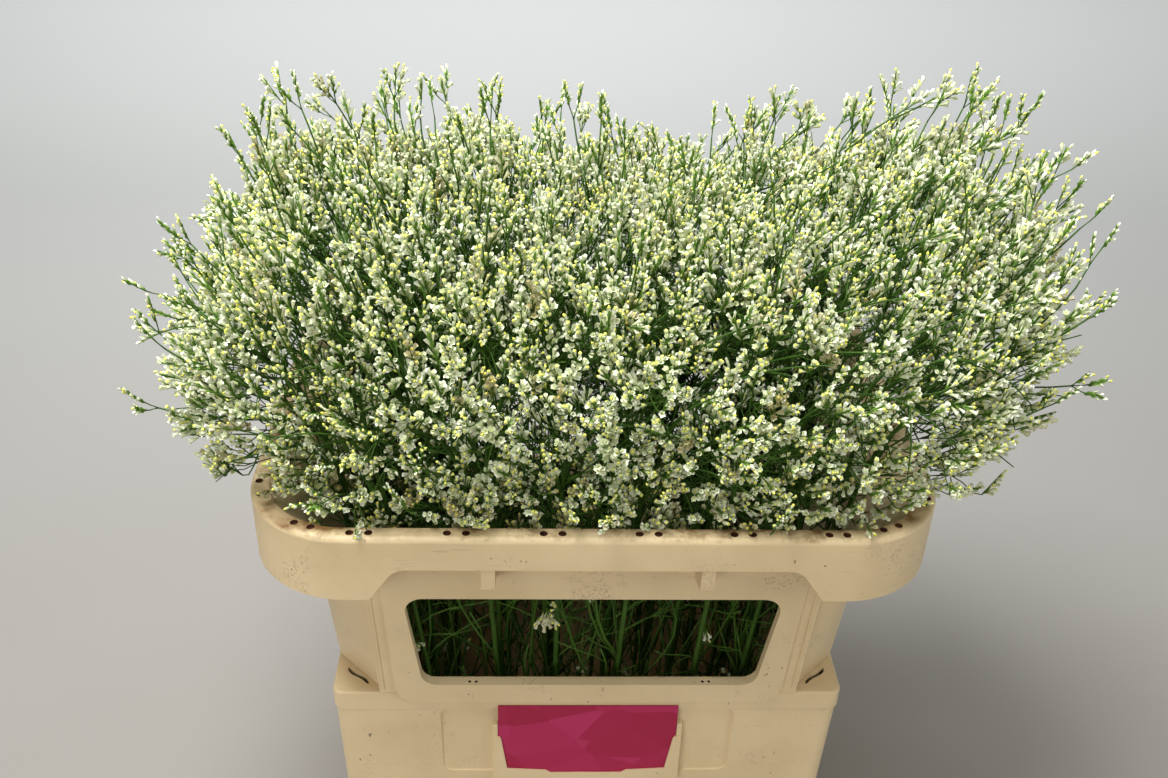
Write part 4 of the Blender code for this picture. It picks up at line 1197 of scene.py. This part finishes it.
def build_stems(mats):
    rng = np.random.default_rng(977)
    stems = grow()
    growth = [Growth() for _ in stems]
    ends = np.array([line[-1] for s in stems
                     for line in [s["line"]] + [way for _, way in s["branches"]]])
    heads, faces, depth, low_head = flower_heads(rng, ends)
    k = len(heads)
    up = np.array([0, 0, 1.0])
    aim = unit(faces * 0.80 + up * 0.50 + rng.normal(size=(k, 3)) * 0.14)
    aim[low_head] = unit(faces[low_head] * 0.45 + up * 0.85
                         + rng.normal(size=(int(low_head.sum()), 3)) * 0.24)
    roots = np.array([head_root(h, a, 0.066 if not lo else 0.042)
                      for h, a, lo in zip(heads, aim, low_head)])
    # the stem line that each head's stalk leaves
    pts, tans, own = [], [], []
    for i, s in enumerate(stems):
        for j, line in enumerate([s["line"]] + [way for _, way in s["branches"]]):
            p, t = stations(line, 0.040, 0.34 * lengths(line)[-1] if j == 0 else 0.006)
            pts.append(p)
            tans.append(t)
            own.append(np.full(len(p), i))
    room = 26000
    n = sum(len(p) for p in pts)
    P, T, O = np.zeros((room, 3)), np.zeros((room, 3)), np.zeros(room, int)
    P[:n], T[:n], O[:n] = np.vstack(pts), np.vstack(tans), np.concatenate(own)
    apart = np.array([np.min(np.linalg.norm(P[:n] - r, axis=1)) for r in roots])
    owner = np.zeros(k, int)
    load = np.zeros(len(stems))
    for h in np.argsort(apart):
        cost = reach_cost(roots[h], P[:n], T[:n], 0.050) + load[O[:n]] * 0.0006
        cost += 0.05 * (np.linalg.norm(P[:n] - heads[h], axis=1) < 0.034)
        best = None
        order = np.argpartition(cost, 24)[:24]
        for c in order[np.argsort(cost[order])]:
            way = curve(P[c], T[c], roots[h], aim[h], 6)
            bad = int((~outside_collar(way, 0.0025)).sum())
            if best is None or bad < best[0]:
                best = (bad, c, way)
            if bad == 0:
                break
        _, c, way = best
        owner[h] = O[c]
        load[O[c]] += 1
        if np.linalg.norm(P[c] - roots[h]) > 0.003:
            growth[O[c]].stalks.append(way)
            p, t = stations(way, 0.004, 0.012)
            m = min(len(p), room - n)
            P[n:n + m], T[n:n + m], O[n:n + m] = p[:m], t[:m], O[c]
            n += m
    # each head: two or three forks, and a twig to every spike
    for h in range(k):
        g = growth[owner[h]]
        loose = openness(heads[h][None])[0]
        reach = np.linalg.norm(heads[h] - roots[h])
        wanted = 4 if low_head[h] else int(rng.integers(5, 8)) - (loose > 0.5)
        spread = 0.36 if reach > 0.03 else 0.60
        ways, polar = fan(aim[h], wanted, spread, rng)
        ways = unit(ways + rng.normal(size=ways.shape) * 0.07)
        forks, _ = fan(aim[h], 2 + (wanted > 5), spread * 0.55, rng)
        knots = roots[h] + forks * reach * rng.uniform(0.30, 0.44, (len(forks), 1))
        far = reach - 0.010 * (polar / spread) ** 2 + rng.normal(size=wanted) * 0.0045
        tips = roots[h] + ways * far[:, None]
        span = np.minimum(rng.uniform(0.018, 0.028, wanted), far * 0.62)
        axis = unit(ways * 0.85 + up * 0.22 + rng.normal(size=ways.shape) * 0.16)
        ripe = rng.random()
        for j in range(wanted):
            if not within(tips[j]) or not outside_collar(tips[j:j + 1], 0.0050)[0]:
                continue
            base = tips[j] - axis[j] * span[j]
            if not outside_collar(base[None], 0.0030)[0]:
                continue
            m = int(np.argmax(forks @ ways[j]))
            knot = knots[m]
            g.twigs.append(np.vstack([curve(knot, forks[m], base, axis[j], 4), tips[j]]))
            face = unit(faces[h] * 0.7 + ways[j] - aim[h] + up * 0.45
                        + rng.normal(size=3) * 0.25)
            g.spikes.append((tips[j], axis[j], span[j], face, ripe, depth[h], 0))
        for m, f in enumerate(forks):
            g.stalks.append(curve(roots[h], aim[h], knots[m], f, 6))
    sprigs(rng, heads, faces, roots, aim, owner, low_head, growth)
    end_sprays(rng, stems, heads, growth)
    inner_flowers(rng, heads, P[:n], T[:n], O[:n], growth)
    shoots(rng, stems, growth)
    window_spray(stems, growth)
    return mesh_stems(rng, stems, growth, mats)


def sprigs(rng, heads, faces, roots, aim, owner, low_head, growth):
    """Young sprays that stand clear of the dome: a thin forked stalk with closed green spikes."""
    up = np.array([0, 0, 1.0])
    weight = np.where(low_head, 0.0, 0.25 + 1.1 * openness(heads)
                      + 0.9 * np.clip((np.abs(heads[:, 0] - 0.01) - 0.24) / 0.05, 0, 1))
    pick = rng.choice(len(heads), size=min(SPRIGS, int((weight > 0).sum())), replace=False,
                      p=weight / weight.sum())
    for h in pick:
        g = growth[owner[h]]
        loose = float(openness(heads[h][None])[0])
        a = unit(aim[h] + up * 0.25 + rng.normal(size=3) * 0.22)
        rise = rng.uniform(0.002, 0.014) + loose * rng.uniform(0.002, 0.022)
        knot = heads[h] + a * rise
        g.stalks.append(curve(roots[h], aim[h], knot, a, 6))
        count = int(rng.choice([1, 2, 2, 3]))
        ways, _ = fan(a, count, 0.16 if count == 1 else 0.55, rng)
        for w in ways:
            span = rng.uniform(0.014, 0.021)
            stalk = rng.uniform(0.004, 0.016)
            axis = unit(w + up * 0.25)
            tip = knot + w * stalk + axis * span
            for _ in range(6):
                if within(tip):
                    break
                span *= 0.85
                stalk *= 0.7
                tip = knot + w * stalk + axis * span
            else:
                continue
            if not outside_collar(tip[None], 0.004)[0]:
                continue
            base = knot + w * stalk
            g.twigs.append(np.vstack([curve(knot, a, base, axis, 4), tip]))
            g.spikes.append((tip, axis, span, unit(faces[h] + rng.normal(size=3) * 0.5),
                             rng.random() * 0.7, -0.01, 0 if rng.random() < 0.6 * loose else 1))


def end_sprays(rng, stems, heads, growth):
    """A forked spray on each stem end that stands clear of the heads."""
    up = np.array([0, 0, 1.0])
    for s, g in zip(stems, growth):
        for line in [s["line"]] + [way for _, way in s["branches"]]:
            cum = lengths(line)
            at = [np.array([np.interp(cum[-1] - v, cum, line[:, i]) for i in range(3)])
                  for v in (0.004, 0.012, 0.022)]
            gap = np.min(np.linalg.norm(heads - at[0], axis=1))
            if gap < 0.013 and openness(at[0][None])[0] < 0.35:
                continue
            axis = unit(at[0] - at[2])
            g.spikes.append((at[0] + axis * 0.006, axis, 0.018,
                             unit(up * 0.5 + rng.normal(size=3) * 0.6), rng.random() * 0.8, 0.0, 0))
            ways, _ = fan(axis, 2, 0.75, rng)
            for w in ways[:1 + (gap > 0.02)]:
                lean = unit(w + up * 0.35)
                base = at[2] + w * rng.uniform(0.007, 0.012)
                tip = base + lean * rng.uniform(0.013, 0.018)
                if within(tip) and outside_collar(np.array([base, tip]), 0.005).all():
                    g.twigs.append(np.vstack([curve(at[2], axis, base, lean, 4), tip]))
                    g.spikes.append((tip, lean, float(np.linalg.norm(tip - base)),
                                     unit(up * 0.4 + w + rng.normal(size=3) * 0.4),
                                     rng.random() * 0.8, 0.0, 0))


def inner_flowers(rng, heads, P, T, O, growth):
    """Small shaded sprays and bare twigs that fill the inside of the bunch."""
    d = unit(rng.normal(size=(9000, 3)))
    p = on_cloud(d, rng.uniform(0.15, 0.84, 9000))
    p = p[(p[:, 2] > 0.425) & outside_collar(p, 0.012)]
    p = p[(p[:, 2] > BUCKET_H + RIM_Z) | inside_walls(p, 0.016)]
    p = p[thin_out(p, 0.0335, taken=list(heads))][:INNER]
    up = np.array([0, 0, 1.0])
    for q in p:
        aim = unit(up * 0.9 + rng.normal(size=3) * 0.45)
        root = q - aim * 0.034
        c = int(np.argmin(reach_cost(root, P, T, 0.035)))
        way = curve(P[c], T[c], root, aim, 6)
        if not outside_collar(way, 0.002).all():
            continue
        g = growth[O[c]]
        g.stalks.append(way)
        ways, _ = fan(aim, 4, 0.50, rng)
        for w in ways:
            tip = root + w * rng.uniform(0.028, 0.038)
            axis = unit(w + up * 0.2)
            base = tip - axis * 0.016
            if outside_collar(np.array([tip, base]), 0.005).all():
                g.twigs.append(np.vstack([curve(root, aim, base, axis, 4), tip]))
                g.spikes.append((tip, axis, 0.016, unit(rng.normal(size=3) + up), 0.2, 0.04, 3))
    # bare twigs between the stems, low in the bunch
    low = np.where((P[:, 2] > 0.40) & (P[:, 2] < 0.625))[0]
    back = np.where((P[:, 2] > 0.24) & (P[:, 2] < 0.47) & (P[:, 1] > -0.04))[0]
    weight = np.clip((P[back, 1] + 0.06) / 0.12, 0.1, 1.0)
    pick = np.concatenate([rng.choice(low, size=BARE, replace=len(low) < BARE),
                           rng.choice(back, size=THICKET, p=weight / weight.sum())])
    for i, c in enumerate(pick):
        if i < BARE:
            out = unit(T[c] * 0.6 + rng.normal(size=3) * 0.75 + up * 0.15)
            end = P[c] + out * rng.uniform(0.022, 0.050)
        else:
            out = unit(T[c] * 0.75 + rng.normal(size=3) * (0.75, 0.35, 0.30))
            end = P[c] + out * rng.uniform(0.045, 0.090)
        way = curve(P[c], T[c], end, unit(out + up * 0.4 + rng.normal(size=3) * 0.3), 3)
        ok = outside_collar(way, 0.003) & ((way[:, 2] > BUCKET_H + RIM_Z - 0.01)
                                           | inside_walls(way, 0.006))
        if ok.all():
            (growth[O[c]].bare if i < BARE else growth[O[c]].thick).append(way)


def shoots(rng, stems, growth):
    """Side shoots low on the stems, inside the collar: long ones that rise, short forked ones."""
    up = np.array([0, 0, 1.0])
    for s, g in zip(stems, growth):
        line, cum = s["line"], s["cum"]

        def leave(z):
            q = np.interp(z, line[:, 2], cum)
            at = [np.array([np.interp(v, cum, line[:, i]) for i in range(3)])
                  for v in (q, q + 0.004)]
            return at[0], unit(at[1] - at[0])
        for _ in range(LONG_SHOOTS):
            start, t = leave(rng.uniform(0.050, 0.300))
            for attempt in range(10):
                rise = rng.uniform(0.100, 0.230)
                az = rng.uniform(0, 6.283)
                shift = rng.uniform(0.020, 0.075)
                end = start + t * rise + np.array([math.cos(az), math.sin(az), 0]) * shift
                bow = unit(np.array([math.cos(az), math.sin(az), 0.9]) + rng.normal(size=3) * 0.3)
                way = curve(start, bow, end, unit(up + rng.normal(size=3) * 0.30), 8)
                if way[:, 2].max() < 0.545 and np.all(
                        inside_walls(way, 0.007) | (way[:, 2] > BUCKET_H + RIM_Z - 0.01)) \
                        and outside_collar(way, 0.003).all():
                    break
            else:
                continue
            g.long.append(way)
            fork(rng, g, way, int(rng.integers(2, 5)), 0.020, 0.055)
        for _ in range(8):
            start, t = leave(rng.uniform(0.290, 0.470))
            for attempt in range(8):
                az, lift = rng.uniform(0, 6.283), rng.uniform(0.1, 1.1)
                out = unit(np.array([math.cos(az), math.sin(az) * 0.8, lift]))
                end = start + out * rng.uniform(0.035, 0.095)
                way = curve(start, t, end, unit(out + np.array([0, 0, rng.uniform(-.4, .8)])), 6)
                if np.all(inside_walls(way, 0.007)) and way[:, 2].max() < 0.480 \
                        and way[:, 2].min() > 0.02:
                    break
            else:
                continue
            g.stalks.append(way)
            fork(rng, g, way, int(rng.integers(1, 4)), 0.014, 0.038)


def fork(rng, g, way, count, least, most):
    """Thin bare forks off a shoot."""
    for _ in range(count):
        m = int(rng.integers(1, len(way) - 1))
        t = unit(way[m + 1] - way[m])
        turn = unit(t + rng.normal(size=3) * 0.50 + np.array([0, 0, 0.20]))
        tip = way[m] + turn * rng.uniform(least, most)
        part = curve(way[m], t, tip, unit(turn + rng.normal(size=3) * 0.3), 4)
        if np.all(inside_walls(part, 0.006)) and outside_collar(part, 0.003).all():
            g.twigs.append(np.vstack([part, part[-1] + (part[-1] - part[-2]) * 0.6]))
            if rng.random() < 0.07:
                g.spikes.append((part[-1], unit(part[-1] - part[-2]), 0.010,
                                 unit(rng.normal(size=3)), 0.4, 0.03, 2))


def window_spray(stems, growth):
    """One small spray that shows behind the front window, and a few florets right of it."""
    rng = np.random.default_rng(31)
    for goal, count in (((-0.034, -0.128, 0.338), 6), ((0.090, -0.126, 0.318), 1)):
        goal = np.array(goal)
        low = [s["line"][np.argmin(np.linalg.norm(s["line"] - goal - (0, 0.01, 0.06), axis=1))]
               for s in stems]
        i = int(np.argmin([np.linalg.norm(p - goal - (0, 0.01, 0.06)) for p in low]))
        start = low[i]
        way = curve(start, np.array([0, -0.3, -0.9]), goal + (0, 0.004, 0.012),
                    unit(np.array([0.15, -0.25, -0.9])), 6)
        growth[i].stalks.append(way)
        ways, _ = fan(unit(np.array([0.05, -0.45, -0.75])), count, 0.9, rng)
        for w in ways:
            tip = way[-1] + w * 0.015
            tip[1] = max(tip[1], -0.136)
            growth[i].twigs.append(np.vstack([curve(way[-1], w, way[-1] + w * 0.006, w, 4), tip]))
            growth[i].spikes.append((tip, w, 0.012, unit(rng.normal(size=3) + (0, -1, 0)), 0.55,
                                     0.0, 2))


def mesh_stems(rng, stems, growth, mats):
    made = []
    for i, (s, g) in enumerate(zip(stems, growth)):
        batch = Batch()
        line, forks, cum = s["line"], s["forks"], s["cum"]
        # trunk: thick foot, thinner past each fork, a fine point in its own head
        q = np.concatenate([np.linspace(0, cum[59], 14)[:-1], np.linspace(cum[59], cum[-1], 20)])
        trunk = np.stack([np.interp(q, cum, line[:, j]) for j in range(3)], axis=1)
        r = np.interp(q, [0, 0.8 * forks[0], forks[0], forks[0] + 0.01, forks[1] + 0.01,
                          cum[-1] - 0.06, cum[-1]],
                      [R_FOOT, R_FOOT * 0.85, R_FORK, R_FORK * 0.82, R_TOP, R_TOP * 0.7, 0.0004])
        batch.tubes(trunk[None], r[None], 6, STEM, np.array([[rng.random() * 0.5, 0.1]]))
        for face, way in s["branches"]:
            fork = forks[face % 2]
            root = np.array([np.interp(fork, cum, line[:, j]) for j in range(3)])
            along = resample(np.vstack([root, way]), 15)
            lead = lengths(along)
            r = np.interp(lead, [0, 0.02, lead[-1] - 0.06, lead[-1]],
                          [R_TOP * 1.15, R_TOP * 0.92, R_TOP * 0.66, 0.0004])
            batch.tubes(along[None], r[None], 6, STEM, np.array([[rng.random() * 0.5, 0.1]]))
        if g.stalks:
            ways = np.array(g.stalks)
            long = np.linalg.norm(ways[:, -1] - ways[:, 0], axis=1)
            for mask, sides in ((long > 0.030, 4), (long <= 0.030, 3)):
                if mask.any():
                    part = ways[mask] if sides == 4 else ways[mask][:, [0, 2, 5]]
                    thick = np.interp(long[mask], [0.012, 0.09], [0.00055, 0.00084])
                    rad = np.linspace(1.0, 0.78, part.shape[1])[None] * thick[:, None]
                    batch.tubes(part, rad, sides, STEM,
                                np.stack([rng.random(len(part)), np.zeros(len(part))], 1))
        if g.long:
            ways = np.array(g.long)
            rad = np.linspace(1.0, 0.6, 8)[None] * rng.uniform(0.00095, 0.00125, (len(ways), 1))
            batch.tubes(ways, rad, 4, STEM, np.stack([rng.random(len(ways)) * 0.5 + 0.5,
                                                      np.zeros(len(ways))], 1))
        # bare and thicket twigs inside the bunch get painted shade through the age channel: 0.25 on
        # the bare ones, 0.75 on the thicket
        for ways, width, painted_shade in ((g.bare, 0.00066, 0.25), (g.thick, 0.00118, 0.75)):
            if ways:
                ways = np.array(ways)
                rad = np.array([[1.0, 0.85, 0.55]]) * width * rng.uniform(0.85, 1.2, (len(ways), 1))
                batch.tubes(ways, rad, 3, STEM, np.stack([rng.random(len(ways)) * 0.6,
                                                          np.full(len(ways), painted_shade)], 1))
        if g.twigs:
            ways = np.array(g.twigs)
            rad = np.tile([0.00054, 0.00047, 0.00045, 0.00056, 0.00030],
                          (len(ways), 1)) * rng.uniform(0.9, 1.15, (len(ways), 1))
            batch.tubes(ways, rad, 3, STEM, np.stack([rng.random(len(ways)),
                                                      np.zeros(len(ways))], 1))
        spikes(batch, rng, g.spikes)
        name = "stem_%02d" % (i + 1)
        me = batch.mesh(name + "_look", mats)
        ob = bpy.data.objects.new(name + "_look", me)
        bpy.context.scene.collection.objects.link(ob)
        place(ob, name, slot="statice")
        made.append(ob)
    return made


def spikes(batch, rng, todo):
    """Florets in three ranks on the outer side of each spike."""
    if not todo:
        return 0
    tip, axis = np.array([s[0] for s in todo]), np.array([s[1] for s in todo])
    span, face = np.array([s[2] for s in todo]), np.array([s[3] for s in todo])
    ripe, level, kind = (np.array([s[i] for s in todo]) for i in (4, 5, 6))
    up = unit(face - axis * (face * axis).sum(1)[:, None])
    across = np.cross(axis, up)
    young = kind == 1
    pitch = np.where(young, 0.0024, np.where(kind == 3, 0.0034, 0.0025))
    count = np.clip(np.round(span / pitch), 4, 11).astype(int)
    low = np.clip((0.505 - tip[:, 2]) / 0.03, 0, 1)
    aged = np.where(rng.random(len(tip)) < 0.09 + 0.42 * low, rng.uniform(0.22, 0.80, len(tip)),
                    rng.uniform(0.0, 0.12, len(tip)))
    aged[young] = 0.0
    lot = np.repeat(np.arange(len(tip)), count)
    rank = np.concatenate([np.arange(c) for c in count])
    n = len(lot)
    back = 0.0004 + rank * (span[lot] - 0.003) / count[lot]
    share = back / span[lot]
    turn = np.array([-1.05, 1.05, 0.0])[rank % 3] + rng.normal(size=n) * 0.28
    radial = up[lot] * np.cos(turn)[:, None] + across[lot] * np.sin(turn)[:, None]
    splay = np.where(young[lot], 0.28 + 0.25 * share, 0.20 + 0.72 * share)
    tilt = splay + rng.normal(size=n) * 0.13
    a = unit(axis[lot] * np.cos(tilt)[:, None] + radial * np.sin(tilt)[:, None])
    foot = tip[lot] - axis[lot] * (back + 0.0035)[:, None] + radial * 0.0005
    # closed and small towards the tip, wide open further back
    spread = ripe[lot] * 0.55 + 0.45 * rng.random(n) + 0.40 * (share - 0.35)
    width = np.where(spread < 0.34, rng.uniform(0.00100, 0.00132, n),
                     np.where(spread < 0.77, rng.uniform(0.00138, 0.00184, n),
                              rng.uniform(0.00205, 0.00258, n)))
    length = rng.uniform(0.0064, 0.0086, n)
    width = np.where(young[lot], rng.uniform(0.00090, 0.00122, n), width)
    length = np.where(young[lot], rng.uniform(0.0052, 0.0068, n), length)
    yellow = rng.random(n) < np.where(width < 0.00136, 0.58, np.where(width < 0.0020, 0.36, 0.14))
    yellow = np.where(young[lot], rng.random(n) < 0.35, yellow)
    bract = np.where(young[lot], 1.15, np.where(rng.random(n) < 0.62, 1.0, 0.0))
    bract = np.where(kind[lot] == 3, 0.0, bract)
    yellow &= (kind[lot] != 3) | (rng.random(n) < 0.3)
    tint = np.stack([rng.random(n), aged[lot]], 1)
    flowers(batch, rng, foot, a, radial, width, length, tint, yellow, bract)
    return n


HEAD_GAP = 0.0268
SPRIGS = 190
INNER, BARE, THICKET, LONG_SHOOTS = 255, 1900, 2000, 5
LIMIT = (np.array(cad_box[0]) - (0.024, 0.016, 0.0), np.array(cad_box[1]) + (0.024, 0.016, 0.024))

# ---------------------------------------------------------------- build
CREAM = (0.745, 0.590, 0.362)
make_bucket(plastic("bucket_cream", CREAM, False))
make_collar(plastic("collar_cream", CREAM, True), rust())
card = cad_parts["label_card"]
card.data.materials.clear()
card.data.materials.append(card_paper())
build_stems([plant("stem_green", 0.55, stem_green), plant("bract_green", 0.6, bract_green),
             plant("calyx_white", 0.62, calyx_white), plant("bud_yellow", 0.55, bud_yellow)])

# ---------------------------------------------------------------- stage
m, nt, b = shader("studio_paper_painted_shade", 0.9, 0.1)
place_ = node(nt, "ShaderNodeTexCoord").outputs["Object"]
away = node(nt, "ShaderNodeSeparateXYZ", [(0, place_)])
# the paper darkens towards the near floor and lightens up the backdrop: painted shade and light, not
# the paper's own tone
far = maths(nt, "ADD", maths(nt, "MULTIPLY", away.outputs[1], 0.5), away.outputs[2])
tone = mix(nt, step(nt, far, -0.1, 1.35), (0.270, 0.255, 0.235), (0.64, 0.66, 0.66))
tone = mix(nt, maths(nt, "MULTIPLY", noise(nt, place_, 3.0, 3.0), 0.10), tone, (0.5, 0.5, 0.5))
nt.links.new(tone, b.inputs["Base Color"])
me = bpy.data.meshes.new("studio")
prof = [(-16.0, 0.0)] + [(1.5 + 1.2 * math.sin(a), 1.2 - 1.2 * math.cos(a))
                        for a in np.linspace(0, math.pi / 2, 14)] + [(2.7, 5.0)]
pts = [(x, y, z - 0.0002) for y, z in prof for x in (-16.0, 16.0)]
me.from_pydata(pts, [], [(2 * i, 2 * i + 1, 2 * i + 3, 2 * i + 2) for i in range(len(prof) - 1)])
me.shade_smooth()
me.materials.append(m)
studio = bpy.data.objects.new("studio", me)
bpy.context.scene.collection.objects.link(studio)


def lamp(name, at, to, size, watts, colour=(1, 1, 1)):
    data = bpy.data.lights.new(name, "AREA")
    data.shape = "RECTANGLE"
    data.size, data.size_y = size
    data.energy = watts
    data.color = colour
    ob = bpy.data.objects.new(name, data)
    ob.location = at
    ob.rotation_euler = (Vector(to) - Vector(at)).to_track_quat("-Z", "Y").to_euler()
    bpy.context.scene.collection.objects.link(ob)
    return ob


lamp("overhead", (-0.5, -0.2, 2.2), (0, 0, 0.6), (1.1, 0.85), 68)
lamp("front_fill", (-1.2, -2.4, 1.1), (0, 0, 0.3), (1.6, 1.4), 23, (1.0, 0.96, 0.90))
lamp("right_fill", (2.0, -1.2, 1.4), (0, 0, 0.5), (1.2, 1.2), 14)
lamp("backdrop_light", (0.0, 0.9, 2.6), (0, 2.6, 1.2), (2.6, 0.6), 26)
world = bpy.data.worlds.new("studio_air")
world.use_nodes = True
world.node_tree.nodes["Background"].inputs[0].default_value = (0.84, 0.85, 0.80, 1.0)
world.node_tree.nodes["Background"].inputs[1].default_value = 0.30
bpy.context.scene.world = world
bpy.context.scene.view_settings.view_transform = "Standard"
bpy.context.scene.view_settings.look = "None"

# camera: the photograph's viewing angle, 37 mm on a 36 mm wide sensor
pitch, yaw, roll = 0.5556, 0.0488, 0.0359
fwd = Vector((math.sin(yaw) * math.cos(pitch), math.cos(yaw) * math.cos(pitch),
              -math.sin(pitch)))
right = Vector((math.cos(yaw), -math.sin(yaw), 0.0))
above = right.cross(fwd)
r2 = right * math.cos(roll) + above * math.sin(roll)
u2 = above * math.cos(roll) - right * math.sin(roll)
data = bpy.data.cameras.new("view")
data.sensor_width = 36.0
data.lens = 36.986
camera = bpy.data.objects.new("view", data)
turn = Matrix((r2, u2, -fwd)).transposed()
camera.matrix_world = Matrix.Translation((-0.0453, -0.8217, 0.9822)) @ turn.to_4x4()
bpy.context.scene.collection.objects.link(camera)
bpy.context.scene.camera = camera

bpy.context.view_layer.update()
